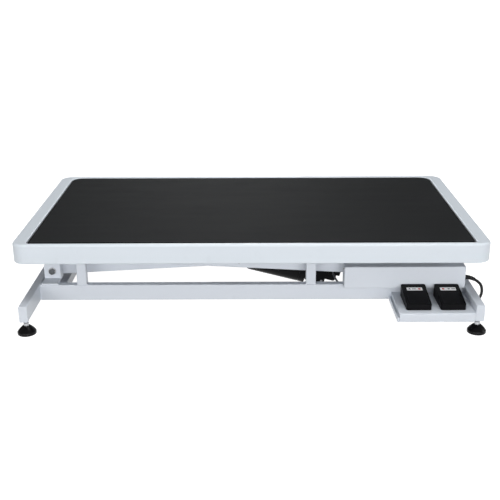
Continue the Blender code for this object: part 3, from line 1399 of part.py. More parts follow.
def build_cord():
    """The mains cord: its free stretch, the coil that is put away, and the plug."""
    mouth, heading = gland_line(GLAND_LENGTH)
    start = mouth + heading * GAP
    coil = coil_points()
    end = coil[0] - Vector((0, GAP, 0))
    lying = CORD_DIAMETER / 2 + GAP
    route = [
        start,
        start + heading * CORD_DIAMETER,
        (start.x + 0.0165, start.y + 0.0015, start.z - 0.0140),
        (start.x + 0.0220, start.y + 0.0055, start.z - 0.0290),
        (start.x + 0.0235, start.y + 0.0125, start.z - 0.0450),
        (start.x + 0.0225, start.y + 0.0245, start.z - 0.0610),
        (start.x + 0.0200, start.y + 0.0425, start.z - 0.0745),
        (start.x + 0.0170, start.y + 0.0665, start.z - 0.0825),
        (0.558, -0.120, lying),
        (0.556, -0.075, lying),
        (0.556, -0.025, lying),
        (0.555, 0.025, lying),
        (0.549, 0.075, lying),
        (0.537, 0.122, lying),
        (0.520, 0.168, lying),
        (0.505, 0.212, lying),
        (end.x, end.y - 0.030, lying),
        (end.x, end.y - 0.007, lying),
        tuple(end),
    ]
    cable("mains_cord", routed(route, 0.015), CORD_DIAMETER, "rubber", 2)
    cable("cord_coil", coil, CORD_DIAMETER, "rubber", 1)
    gap = least_self_gap(coil, CORD_DIAMETER)
    print("least gap of the coil to itself: %.2f mm" % (gap * 1000))
    tip = coil[-1]
    head = tip.x - GAP
    relief = CORD_DIAMETER / 2 + RELIEF_WALL
    profile = [
        (0.0, head),
        (relief, head),
        (relief + PLUG_RELIEF_SPREAD, head - PLUG_RELIEF_LENGTH),
        (PLUG_RADIUS - PLUG_ROUND, head - PLUG_RELIEF_LENGTH - PLUG_ROUND),
        (PLUG_RADIUS, head - PLUG_SHOULDER),
        (PLUG_RADIUS, head - PLUG_LENGTH + PLUG_ROUND),
        (PLUG_RADIUS - PLUG_ROUND, head - PLUG_LENGTH),
        (0.0, head - PLUG_LENGTH),
    ]
    plug_z = max(tip.z, PLUG_RADIUS + GAP)
    mesh = turned(profile, "X", 24)
    mesh.transform(Matrix.Diagonal((1, PLUG_FLATNESS, 1, 1)))
    plug = new_part("plug", moved(mesh, (0, tip.y, plug_z)), "rubber")
    for side, sign in SIDES:
        centre = (0, tip.y + sign * PLUG_PIN_SPACING / 2, plug_z)
        low_x = head - PLUG_LENGTH - PLUG_PIN_LENGTH
        pin = cylinder(centre, PLUG_PIN_RADIUS, low_x, head - PLUG_LENGTH + 0.003, "X", 12)
        join(plug, pin, side + "_pin")


def build_actuator_lead():
    """The actuator's lead, from the gearbox down and forward into the front rail."""
    x = CLEVIS_X - GEARBOX_START - LEAD_FROM_GEARBOX
    y = -GEARBOX_FRONT_SIDE - GAP
    z = CLEVIS_HEIGHT + LEAD_ABOVE_CLEVIS
    rail_y = -(RAIL_BACK_Y + RAIL_FACE_Y) / 2
    route = [
        (x, y, z),
        (x, y - 0.005, z),
        (x + 0.001, y - 0.018, z - 0.003),
        (x + 0.005, y - 0.034, z - 0.014),
        (x + 0.014, y - 0.056, z - 0.029),
        (x + 0.026, y - 0.082, z - 0.037),
        (x + 0.038, y - 0.106, z - 0.038),
        (x + LEAD_RUN - 0.002, rail_y + 0.007, z - 0.033),
        (x + LEAD_RUN, rail_y + 0.001, FOOT_HEIGHT - 0.008),
        (x + LEAD_RUN, rail_y, FOOT_HEIGHT - 0.004),
        (x + LEAD_RUN, rail_y, FOOT_HEIGHT - GAP),
    ]
    cable("actuator_lead", routed(route, 0.008), LEAD_DIAMETER, "grey_lead", 2)


clear_scene()
parts = new_collection("electric_grooming_table")
cutters = new_collection("cutters")
build_rails()
build_end_bars()
build_feet()
build_posts()
build_base_tracks()
build_base_brackets()
build_pivot_beam()
build_pivot_shafts()
build_inner_arms()
build_outer_arms()
build_centre_bolts()
build_rollers()
build_top_shaft()
build_lift_tube()
build_outer_arm_ties()
build_actuator_beam()
build_actuator()
build_rim()
build_deck()
build_top_frame()
build_top_tracks()
build_top_brackets()
build_control_box()
build_gland()
build_pedal_tray()
build_pedals()
build_cord()
build_actuator_lead()
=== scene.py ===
"""Electric grooming table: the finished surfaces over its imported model.

Metres, +Z up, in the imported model's frame: the origin is on the floor under
the middle of the table, +X runs to the right and -Y is towards the groomer.
"""

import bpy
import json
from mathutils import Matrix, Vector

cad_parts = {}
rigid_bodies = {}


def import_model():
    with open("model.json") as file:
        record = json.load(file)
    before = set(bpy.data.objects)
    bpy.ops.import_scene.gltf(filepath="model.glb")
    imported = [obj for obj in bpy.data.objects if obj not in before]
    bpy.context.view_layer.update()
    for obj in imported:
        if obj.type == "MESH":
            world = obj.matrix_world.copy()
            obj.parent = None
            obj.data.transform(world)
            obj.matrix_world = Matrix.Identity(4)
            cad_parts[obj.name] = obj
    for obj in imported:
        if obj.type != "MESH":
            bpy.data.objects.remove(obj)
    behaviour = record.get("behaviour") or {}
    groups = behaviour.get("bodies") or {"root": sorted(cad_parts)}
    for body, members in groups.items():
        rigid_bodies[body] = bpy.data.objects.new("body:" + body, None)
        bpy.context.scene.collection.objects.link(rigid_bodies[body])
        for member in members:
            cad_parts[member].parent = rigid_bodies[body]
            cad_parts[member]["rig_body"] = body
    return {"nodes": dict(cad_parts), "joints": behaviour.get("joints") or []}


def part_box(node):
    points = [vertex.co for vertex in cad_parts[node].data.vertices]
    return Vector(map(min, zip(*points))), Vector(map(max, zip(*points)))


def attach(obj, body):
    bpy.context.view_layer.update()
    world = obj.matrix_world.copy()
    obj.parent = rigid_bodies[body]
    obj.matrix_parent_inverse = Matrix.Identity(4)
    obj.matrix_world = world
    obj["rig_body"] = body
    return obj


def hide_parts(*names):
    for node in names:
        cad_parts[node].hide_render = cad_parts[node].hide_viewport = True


bl_info = {
    "name": "Electric Grooming Table",
    "version": (1, 0, 0),
    "blender": (4, 5, 0),
    "location": "3D View > Sidebar > Grooming Table",
    "description": "Finishes a scissor-lift grooming table over its packed model",
    "category": "Add Mesh",
}

import contextlib
import json
import math

import bmesh
import bpy
from bpy.props import FloatProperty, FloatVectorProperty, IntProperty, PointerProperty
from mathutils import Matrix, Vector

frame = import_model()

MATERIAL_PREFIX = "groom_"
SIDES = (("front", -1), ("rear", 1))
ENDS = ("left", "right")

# The turn that lays an upright piece along each axis
TURNS = {
    "X": (0, math.pi / 2, 0),
    "Y": (-math.pi / 2, 0, 0),
    "Z": (0, 0, 0),
}

# The gap between pieces that touch, the distance under which two points are
# one, and how far a cutter reaches past the piece that it cuts
TOUCH = 0.0003
TINY = 0.00001
THROUGH = 0.01

# The angles between faces over which they aren't one plane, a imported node's
# edge is eased, and an edge stays sharp
FLAT_ANGLE = math.radians(0.5)
EASED_ANGLE = math.radians(40)
SHARP_ANGLE = math.radians(50)

# The share of its length that an edge has along its axis, how far from a
# block's middle its corners are, in its sizes, and how much a top looks up
ALONG_SHARE = 0.9
CORNER_SHARE = 0.4
UPWARD_SHARE = 0.9

# Sides of the small turned pieces, and the steps of a curve and of a ring
FEW_SIDES = 24
CURVE_STEPS = 24
RING_STEPS = 24

# The tabletop
MAT_GAP = 0.0012
MAT_SHRINK = 0.0008
OPENING_FRONT_CORNER = 0.010
OPENING_REAR_CORNER = 0.030
RIM_WALL = 0.004
RIM_FOOT_ROUND = 0.0032
RIM_OPENING_ROUND = 0.0025
RIM_WALL_ROUND = 0.0004
MAT_FRONT_CORNER = 0.020
# The mat's painted shade: the width of the dark band along its front and how soft its edge is, and where
# the dark bands along its sides start and end
MAT_FRONT_SHADE = 0.011
MAT_FRONT_SHADE_BLUR = 0.001
MAT_SIDE_SHADE = 0.0050
MAT_SIDE_SHADE_END = 0.0035
# The rib behind the mat's front band, raised in the bump and painted lighter as a painted highlight: its
# width and the length of its slopes
MAT_HIGHLIGHT_RIB = 0.004
MAT_HIGHLIGHT_RIB_SLOPE = 0.002
PLY_THICK = 0.003

# The tubes, shafts and bolts
TUBE_HEIGHT = 0.040
TUBE_ROUND = 0.0025
SAWN_END_SHARE = 1.6
ARM_WIDTH = 0.020
ARM_END = 0.020
BOSS_LENGTH = 0.0037
BOSS_SUNK = 0.002
SHAFT_RADIUS = 0.006
SPACER_RADIUS = 0.010
WASHER_RADIUS = 0.0094
WASHER_THICK = 0.0015
WASHER_EASE = 0.0003
HEAD_RADIUS = 0.0078
HEAD_HEIGHT = 0.006
HEAD_RECESS = 0.0007
HEX_TURN = math.radians(7)
HEX_CUTTER = 1.005
HEX_CHAMFER = 0.12
BOLT_TIP_EASE = 0.001
CROSS_SHAFT_RADIUS = 0.0125
CROSS_SHAFT_EASE = 0.001
CROSS_SHAFT_TIP_EASE = 0.0006
BRACKET_THICK = 0.004
ROLLER_WEB_DEPTH = 0.003
ROLLER_TREAD = 0.006
ROLLER_HUB = 0.001
ROLLER_EASE = 0.0005
ROLLER_FILLET = 0.0015
ROLLER_FILLET_MIDDLE = 0.0008
ROLLER_TREAD_ROUND = 0.0018
ROLLER_TREAD_MIDDLE = 0.0006
LIFT_TUBE_PLACE = 0.215
LIFT_TUBE_RADIUS = 0.016
UPPER_TIE_RADIUS = 0.014

# The feet
PAD_RADIUS = 0.022
PAD_HEIGHT = 0.020
PAD_NECK = 0.0092
PAD_RIM = 0.0062
PAD_STEPS = 12
PAD_CROWN = 0.20
NUT_HEIGHT = 0.007
NUT_RADIUS = 0.0066
STUD_RADIUS = 0.005
STUD_EASE = 0.001
STUD_SUNK = 0.002
THREAD_OVER_NUT = 0.016
THREAD_DEPTH = 0.0006
THREAD_PITCH = 0.00125

# The pad's sole: steps in from its rim, each with its height
PAD_SOLE = ((0.0, 0.0012), (0.0004, 0.0003), (0.0012, 0.0), (0.0040, 0.0), (0.0045, 0.0008))

# The screws: a pan head's dome and cross recess, as shares of its radius and
# of its height
SCREW_HEIGHT = 0.62
SCREW_DOME = ((0.0, 1.0), (0.45, 0.93), (0.8, 0.62), (1.0, 0.15))
SCREW_SUNK = 0.0002
RECESS_REACH = 0.62
RECESS_WIDTH = 0.14
RECESS_FLOOR = 0.35
RECESS_TOP = 1.5
BOX_SCREW_RADIUS = 0.0032
BOX_SCREW_BACK = 0.010
BOX_SCREW_DROP = 0.009

# The pedals
PEDAL_WALL = 0.004
PEDAL_CORNER = 0.005
PEDAL_EDGE = 0.0013
PEDAL_FOOT = 0.002
PEDAL_FRONT_HEIGHT = 0.0135
PEDAL_LABEL_DEPTH = 0.035
WELL_CORNER = 0.0015
WELL_LIP = 0.0005
LIP_MARGIN = 0.0002
LIP_DROP = 0.0006
TREADLE_GAP = 0.0006
TREADLE_THICK = 0.004
TREADLE_TRAVEL = 0.0048
TREADLE_CORNER = 0.0012
TREADLE_EDGE = 0.0009
TRUNNION_RADIUS = 0.0015
LABEL_FROM_BACK = 0.0235
LABEL_WIDTH = 0.0375
LABEL_DEPTH = 0.0130
LABEL_CORNER = 0.0012
LABEL_FILM = 0.0003
LABEL_LIFT = 0.0001
DOT_RADIUS = 0.0031
DOT_SIDES = 32
ARROW_RADIUS = 0.0036
STEM_START = 0.006
STEM_END = 0.015
STEM_WIDTH = 0.0022

# Each pedal: how far right of its middle the dot and the arrow stand, and the
# arrow's turn
PEDALS = (
    ("left_pedal", 0.0115, -0.012, 0),
    ("right_pedal", -0.0115, 0.002, math.pi),
)

# The hem along the left side of the pedal tray
FOLD_WIDTH = 0.0044
FOLD_HEIGHT = 0.012
FOLD_SHEET = 0.0012
FOLD_INSET = 0.0015
FOLD_ROUND = 0.0003

# The actuator, along its own axis from the clevis pin
GEARBOX_START = 0.018
GEARBOX_LENGTH = 0.087
GEARBOX_ROUND = 0.0008
GEARBOX_SCREWS = ((0.026, 0.014), (0.094, 0.014), (0.094, -0.030), (0.062, -0.030))
GEARBOX_SCREW_RADIUS = 0.003
TUBE_RADIUS = 0.020
TUBE_END = 0.430
COLLAR_LENGTH = 0.030
COLLAR_STEP = 0.002
BORE_GAP = 0.0012
BORE_EASE = 0.0004
BORE_DEPTH = 0.060
MOTOR_RADIUS = 0.027
MOTOR_LENGTH = 0.160
MOTOR_Y = -0.050
MOTOR_DROP = 0.027
MOTOR_NOSE = 0.016
MOTOR_NOSE_STEPS = 7
MOTOR_SHOULDER = 0.012
MOTOR_DIMPLE = 0.009
MOTOR_DIMPLE_DEPTH = 0.001
CRIMP_START = 0.014
CRIMP_WIDTH = 0.003
CRIMP_DEPTH = 0.0012
CRIMP_SLOPE = 0.0005
CLEVIS_TIP_STEP = 0.003
CLEVIS_TIP_EASE = 0.0006
CLEVIS_SHANK_STEP = 0.004
CLEVIS_TIP_END = 0.004
CLEVIS_RING = (0.0042, 0.0054)
CLEVIS_SHANK_END = 0.0055
ROD_RADIUS = 0.010
ROD_START = 0.135
ROD_IN_EYE = 0.011
EYE_RADIUS = 0.014
EYE_WIDTH = 0.022
EYE_ROUND = 0.0012
LEAD_DIAMETER = 0.005
LEAD_SPACING = 0.002
LEAD_SIDES = 12
LEAD_X = 0.020
LEAD_Z = 0.012

# The collar's two ends: steps in from its radius, each with its step back
COLLAR_SHOULDER = ((0.0008, 0.0004), (0.0, 0.0012))
COLLAR_MOUTH = ((0.0, 0.0040), (0.0008, 0.0022), (0.0025, 0.0006), (0.0040, 0.0))

# The lead's way from the gearbox, as steps from its exit
LEAD_ROUTE = (
    (0, 0, 0),
    (0, -0.005, 0),
    (0.001, -0.018, -0.002),
    (0.005, -0.034, -0.007),
    (0.013, -0.056, -0.012),
    (0.024, -0.080, -0.014),
    (0.034, -0.100, -0.013),
)
LEAD_LAST_STEP = (0.004, 0, 0.001)
LEAD_ENTRY = 0.008

# The mains cord
CORD_DIAMETER = 0.007
CORD_SPACING = 0.004
CORD_SIDES = 16
GLAND_RADIUS = 0.008
GLAND_FLANGE = 0.0035
GLAND_LENGTH = 0.024
GLAND_BEND = 0.045
GLAND_HEIGHT = 0.094
GLAND_Y = -0.2165
GLAND_EASE = 0.0007
GLAND_STEPS = 60
GLAND_RIBS = 6
GLAND_RIB_DEPTH = 0.0007
GLAND_RIBBED = (0.08, 0.95)
GLAND_STEP = 0.002
SLEEVE_WALL = 0.0008
COIL_X = 0.445
COIL_Y = 0.281
COIL_RADIUS = 0.0405
COIL_PITCH = 0.0076
COIL_TURNS_IN = 3.0
COIL_TURNS_OUT = 2.75
COIL_CLIMB = 0.5
COIL_STEPS = 48
COIL_RUN_IN = 0.030
COIL_TAIL = 0.042
PLUG_LENGTH = 0.040
PLUG_RADIUS = 0.0105
PLUG_FLATNESS = 1.35
PLUG_EASE = 0.0006
PLUG_SHOULDER = 0.002
PLUG_NECK = 0.018
PLUG_NECK_END = 0.022
PLUG_NECK_EASE = 0.0024
RIB_COUNT = 5
RIB_START = 0.0022
RIB_PITCH = 0.0028
SLEEVE_FLARE = 0.0017
SLEEVE_LENGTH = 0.016
SLEEVE_EASE = 0.0003
FINGER_GROOVES = 4
FINGER_START = 0.0245
FINGER_PITCH = 0.0032
FINGER_RADIUS = 0.0008
FINGER_LENGTH = 0.012
FINGER_PROUD = 0.0002
FINGER_SIDES = 16
PIN_LENGTH = 0.019
PIN_RADIUS = 0.0024
PIN_SPACING = 0.019
PIN_SUNK = 0.003

# One rib of the plug's sleeve and the tip of its pin: steps across, and back
# from the start
PLUG_RIB = ((0.0, 0.0), (-0.0008, 0.0004), (-0.0008, 0.0014), (0.0002, 0.0018))
PIN_TIP = ((-0.0010, 0.0), (-0.0003, 0.0005), (0.0, 0.0014))

# The cord's drop from the strain relief's mouth, and its way along the floor
CORD_DROP = (
    (0.0165, 0.0015, -0.0140),
    (0.0220, 0.0055, -0.0290),
    (0.0235, 0.0125, -0.0450),
    (0.0225, 0.0245, -0.0610),
    (0.0200, 0.0425, -0.0745),
    (0.0170, 0.0665, -0.0825),
)
CORD_FLOOR = (
    (0.558, -0.120),
    (0.556, -0.075),
    (0.556, -0.025),
    (0.555, 0.025),
    (0.549, 0.075),
    (0.537, 0.122),
    (0.520, 0.168),
    (0.505, 0.212),
)

# The weld beads: how far they stop short of an edge, the spacing of their
# points and the length of a ripple as shares of the bead, and its swell
WELD_TRIM = 0.003
WELD_TRIM_ACROSS = 0.002
WELD_SPACING = 0.45
WELD_RIPPLE = 1.3
WELD_LEAST = 0.90
WELD_SWELL = 0.14
WELD_SIDES = 10

# The floor and the camera
FLOOR_SIZE = 60
FLOOR_PLACE = (0, 12, 0)
SENSOR_WIDTH = 36.0
CAMERA_X = -0.0035
CAMERA_ROLL = math.radians(-0.18)

# The lights: place, the point it faces, width and height, share of the key
# light's power
LIGHTS = {
    "key": ((1.2, -3.0, 0.8), (0, 0, 0.1), (2.4, 1.0), 1),
    "left": ((-1.7, -2.9, 0.8), (-0.5, 0, 0.1), (1.2, 0.8), 0.58),
    "right": ((2.9, -0.5, 0.8), (-0.3, -0.2, 0.1), (1.2, 0.8), 0.25),
    "top": ((0.1, 0.1, 2.8), (0, 0, 0), (2.0, 1.2), 1.35),
    "low": ((-0.2, -2.6, 0.30), (-0.1, 0, 0.08), (2.4, 0.5), 0.62),
    "sheen": ((-0.2, 3.4, 1.5), (0, 0, 0.2), (1.2, 0.8), 0.33),
    "back": ((-0.2, 3.4, 0.6), (0, 0, 0.15), (2.6, 0.8), 1),
}


def colour_setting(**settings):
    """A colour that a user may change."""
    return FloatVectorProperty(subtype="COLOR", size=3, min=0, max=1, **settings)


def length_setting(**settings):
    """A length that a user may change."""
    return FloatProperty(subtype="DISTANCE", unit="LENGTH", **settings)


class GroomingTableFinish(bpy.types.PropertyGroup):
    """Colours and small roundings of the table."""

    coat: colour_setting(
        name="Frame coat",
        description="Colour of the powder coat on the steel frame",
        default=(0.66, 0.70, 0.76),
    )
    rim: colour_setting(
        name="Rim coat",
        description="Colour of the smoother coat on the raised rim",
        default=(0.69, 0.745, 0.80),
    )
    mat: colour_setting(
        name="Mat",
        description="Colour of the rubber mat",
        default=(0.0150, 0.0158, 0.0168),
    )
    plastic: colour_setting(
        name="Black plastic",
        description="Colour of the pedals, the feet and the gearbox",
        default=(0.0030, 0.0030, 0.0036),
    )
    edge_round: length_setting(
        name="Edge rounding",
        description="Radius on the edges of folded and sawn steel",
        min=0.0001,
        max=0.002,
        default=0.0005,
    )
    rim_corner: length_setting(
        name="Rim corner",
        description="Outer corner radius of the raised rim",
        min=0.01,
        max=0.1,
        default=0.030,
    )
    rim_round: length_setting(
        name="Rim top rounding",
        description="Radius along the upper outer edge of the rim",
        min=0.001,
        max=0.02,
        default=0.006,
    )
    mat_round: length_setting(
        name="Mat edge",
        description="Radius along the upper edge of the mat",
        min=0.0002,
        max=0.002,
        default=0.0018,
    )
    bead: length_setting(
        name="Weld bead",
        description="Radius of the painted weld beads",
        min=0.0005,
        max=0.004,
        default=0.0016,
    )
    facets: IntProperty(
        name="Facets round",
        description="Sides of each turned piece",
        min=16,
        max=96,
        default=48,
    )


class GroomingTableStudio(bpy.types.PropertyGroup):
    """The camera, the floor and the lights."""

    floor: colour_setting(
        name="Floor",
        description="Colour of the studio floor",
        default=(0.40, 0.40, 0.40),
    )
    glow: FloatProperty(
        name="Floor glow",
        description="Light that the white floor gives off, so that it shows as white",
        min=0,
        max=4,
        default=1.0,
    )
    lens: FloatProperty(
        name="Lens",
        description="Focal length of the camera",
        subtype="DISTANCE_CAMERA",
        min=20,
        max=200,
        default=60.55,
    )
    distance: length_setting(
        name="Camera distance",
        description="How far in front of the table's middle the camera stands",
        min=1,
        max=10,
        default=2.117,
    )
    height: length_setting(
        name="Camera height",
        description="Height of the camera over the floor",
        min=0.1,
        max=5,
        default=0.864,
    )
    pitch: FloatProperty(
        name="Camera pitch",
        description="How far the camera looks down",
        subtype="ANGLE",
        unit="ROTATION",
        min=0,
        max=1.5,
        default=math.radians(20.17),
    )
    ambient: FloatProperty(
        name="Ambient light",
        description="Strength of the light from all round",
        min=0,
        max=4,
        default=0.38,
    )
    key: FloatProperty(
        name="Key light",
        description="Power of the large soft light in front of the table",
        subtype="POWER",
        unit="POWER",
        min=0,
        max=1000,
        default=28.5,
    )


# Modelling helpers


def deselect():
    """Leaves edit mode and deselects all pieces."""
    if bpy.context.mode != "OBJECT":
        bpy.ops.object.mode_set(mode="OBJECT")
    bpy.ops.object.select_all(action="DESELECT")


def only(thing):
    """Selects one piece alone and makes it the active one."""
    deselect()
    thing.select_set(True)
    bpy.context.view_layer.objects.active = thing


def placed(thing, place=(0, 0, 0), turn=(0, 0, 0)):
    """Turns a piece, moves it, and puts both into its mesh."""
    thing.rotation_euler = turn
    thing.location = place
    return settled(thing)


def settled(thing):
    """Puts a piece's place, turn and size into its mesh."""
    only(thing)
    bpy.ops.object.transform_apply(location=True, rotation=True, scale=True)
    return thing


@contextlib.contextmanager
def editing(thing):
    """Holds one piece in edit mode for the length of a block."""
    only(thing)
    bpy.ops.object.mode_set(mode="EDIT")
    yield
    bpy.ops.object.mode_set(mode="OBJECT")


def pick(thing, test, kind="EDGE"):
    """Selects, in edit mode, only the edges or faces that pass a test."""
    bpy.ops.mesh.select_mode(type=kind)
    bpy.ops.mesh.select_all(action="DESELECT")
    shape = bmesh.from_edit_mesh(thing.data)
    found = [item for item in (shape.edges if kind == "EDGE" else shape.faces) if test(item)]
    if not found:
        raise RuntimeError("nothing on %s passed the test" % thing.name)
    for item in found:
        item.select_set(True)
    bmesh.update_edit_mesh(thing.data)


def merge_points(gap=TINY):
    """Makes one, in edit mode, of the points that lie on each other."""
    bpy.ops.mesh.select_all(action="SELECT")
    bpy.ops.mesh.remove_doubles(threshold=gap)


def round_edges(thing, *steps):
    """Rounds the edges that pass each step's test, by its radius and segments."""
    with editing(thing):
        for test, radius, segments in steps:
            pick(thing, test)
            bpy.ops.mesh.bevel(offset=radius, segments=segments, profile=0.5, affect="EDGES")


def sharp(edge):
    """Says whether two faces meet at a sharp edge."""
    return len(edge.link_faces) == 2 and edge.calc_face_angle() > SHARP_ANGLE


def runs_along(axis):
    """Makes the test whether an edge runs along one axis."""
    index = "XYZ".index(axis)

    def test(edge):
        span = edge.verts[0].co - edge.verts[1].co
        return abs(span[index]) > ALONG_SHARE * span.length

    return test


upright = runs_along("Z")


def linked(name, data):
    """A new object that holds some data, in the scene."""
    thing = bpy.data.objects.new(name, data)
    bpy.context.scene.collection.objects.link(thing)
    return thing


def cube(name, low, high):
    """A block between two corners, as a start for a piece."""
    low = Vector(low)
    high = Vector(high)
    deselect()
    bpy.ops.mesh.primitive_cube_add(size=1, location=(low + high) / 2)
    thing = bpy.context.object
    thing.name = name
    thing.scale = high - low
    return settled(thing)


def cylinder(name, centre, radius, length, axis="Z", sides=None):
    """A cylinder centred on a point, along one axis."""
    deselect()
    bpy.ops.mesh.primitive_cylinder_add(
        vertices=sides or look().facets,
        radius=radius,
        depth=length,
        location=centre,
        rotation=TURNS[axis],
    )
    thing = bpy.context.object
    thing.name = name
    return settled(thing)


def lathe(name, profile, axis, centre=(0, 0, 0), sides=None, closed=False):
    """A turned piece: a profile of (radius, height) spun about an axis through a point."""
    deselect()
    bpy.ops.mesh.primitive_circle_add(vertices=len(profile), radius=1, fill_type="NOTHING")
    thing = bpy.context.object
    thing.name = name
    for vertex, (radius, height) in zip(thing.data.vertices, profile):
        vertex.co = (radius, 0, height)
    ends = {0, len(profile) - 1}
    steps = sides or look().facets
    with editing(thing):
        if not closed:
            pick(thing, lambda edge: {v.index for v in edge.verts} == ends)
            bpy.ops.mesh.delete(type="EDGE")
        bpy.ops.mesh.select_all(action="SELECT")
        bpy.ops.mesh.spin(steps=steps, angle=2 * math.pi, center=(0, 0, 0), axis=(0, 0, 1))
        merge_points(TINY / 10)
        bpy.ops.mesh.normals_make_consistent(inside=False)
    return placed(thing, centre, TURNS[axis])


def mirrored(half):
    """A profile with its mirror image after it."""
    return half + [(radius, -place) for radius, place in reversed(half)]


def apply_modifier(thing, kind, **settings):
    """Adds a modifier with its settings and applies it."""
    step = thing.modifiers.new(kind.lower(), kind)
    for name, value in settings.items():
        setattr(step, name, value)
    only(thing)
    bpy.ops.object.modifier_apply(modifier=step.name)


def combine(thing, other, operation):
    """Works another piece into this one by a boolean, and removes it."""
    apply_modifier(thing, "BOOLEAN", operation=operation, object=other, solver="EXACT")
    bpy.data.objects.remove(other, do_unlink=True)


def cut(thing, other):
    """Takes another piece's shape out of this one."""
    combine(thing, other, "DIFFERENCE")


def unite(thing, *others):
    """Joins other pieces to this one as one closed shell."""
    for other in others:
        combine(thing, other, "UNION")


def gathered(name, things):
    """Joins pieces that stay separate shells of one piece."""
    only(things[0])
    for other in things[1:]:
        other.select_set(True)
    bpy.ops.object.join()
    things[0].name = name
    return things[0]


def hexagon(name, centre, radius, low, high, axis):
    """A hexagon nut or head, with its corners chamfered at both ends."""
    middle = Vector(centre)
    middle["XYZ".index(axis)] = (low + high) / 2
    thing = placed(cylinder(name, (0, 0, 0), radius, high - low, sides=6), turn=(0, 0, HEX_TURN))
    turned = cylinder("chamfer", (0, 0, 0), radius * HEX_CUTTER, high - low)
    round_edges(turned, (sharp, radius * HEX_CHAMFER, 2))
    combine(thing, turned, "INTERSECT")
    return placed(thing, middle, TURNS[axis])


def finish_piece(thing, body, finish, *nodes):
    """Shades a piece, gives it its material and lets it ride on its body."""
    settled(thing)
    bpy.ops.object.shade_smooth_by_angle(angle=SHARP_ANGLE)
    apply_modifier(thing, "WEIGHTED_NORMAL", keep_sharp=True)
    thing.data.materials.clear()
    thing.data.materials.append(material(finish))
    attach(thing, body)
    if nodes:
        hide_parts(*nodes)


def body_of(node):
    """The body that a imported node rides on."""
    return frame["nodes"][node]["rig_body"]


def refined(node, finish="coat", radius=None):
    """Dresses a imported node: a merged copy with its edges eased rides where the node rides."""
    thing = linked(node + "_dressed", frame["nodes"][node].data.copy())
    with editing(thing):
        merge_points()
        bpy.ops.mesh.dissolve_limited(angle_limit=FLAT_ANGLE)
    apply_modifier(
        thing,
        "BEVEL",
        width=radius or look().edge_round,
        segments=2,
        limit_method="ANGLE",
        angle_limit=EASED_ANGLE,
        use_clamp_overlap=True,
    )
    finish_piece(thing, body_of(node), finish, node)


def bar(node, along):
    """Makes a square tube with soft long edges, in the place of its node."""
    thing = cube(node + "_dressed", *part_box(node))
    round_bar(thing, along)
    finish_piece(thing, body_of(node), "coat", node)


def round_bar(thing, along):
    """Rounds a bar's long edges, and eases its two sawn ends."""
    round_edges(
        thing, (runs_along(along), TUBE_ROUND, 5), (sharp, look().edge_round * SAWN_END_SHARE, 3)
    )


def look():
    """The settings of the table's finish."""
    return bpy.context.scene.grooming_finish


# Materials


class Value:
    """A number in a material: Python's operators on it add Math nodes."""

    def __init__(self, wiring, socket):
        self.wiring = wiring
        self.socket = socket

    def maths(self, operation, *values):
        return self.wiring.value("ShaderNodeMath", {"operation": operation}, dict(enumerate(values)))

    def __add__(self, other):
        return self.maths("ADD", self, other)

    __radd__ = __add__

    def __sub__(self, other):
        return self.maths("SUBTRACT", self, other)

    def __rsub__(self, other):
        return self.maths("SUBTRACT", other, self)

    def __mul__(self, other):
        return self.maths("MULTIPLY", self, other)

    __rmul__ = __mul__

    def __truediv__(self, other):
        return self.maths("DIVIDE", self, other)

    def __rtruediv__(self, other):
        return self.maths("DIVIDE", other, self)

    def __mod__(self, step):
        return self.maths("FLOORED_MODULO", self, step)

    def __abs__(self):
        return self.maths("ABSOLUTE", self)

    def swing(self, size):
        """How far the value is from a half, scaled."""
        return (self - 0.5) * size

    def ease(self, low, high):
        """0 under low, 1 over high and a smooth step between."""
        return self.wiring.value(
            "ShaderNodeMapRange",
            {"interpolation_type": "SMOOTHSTEP"},
            {"Value": self, "From Min": low, "From Max": high},
        )


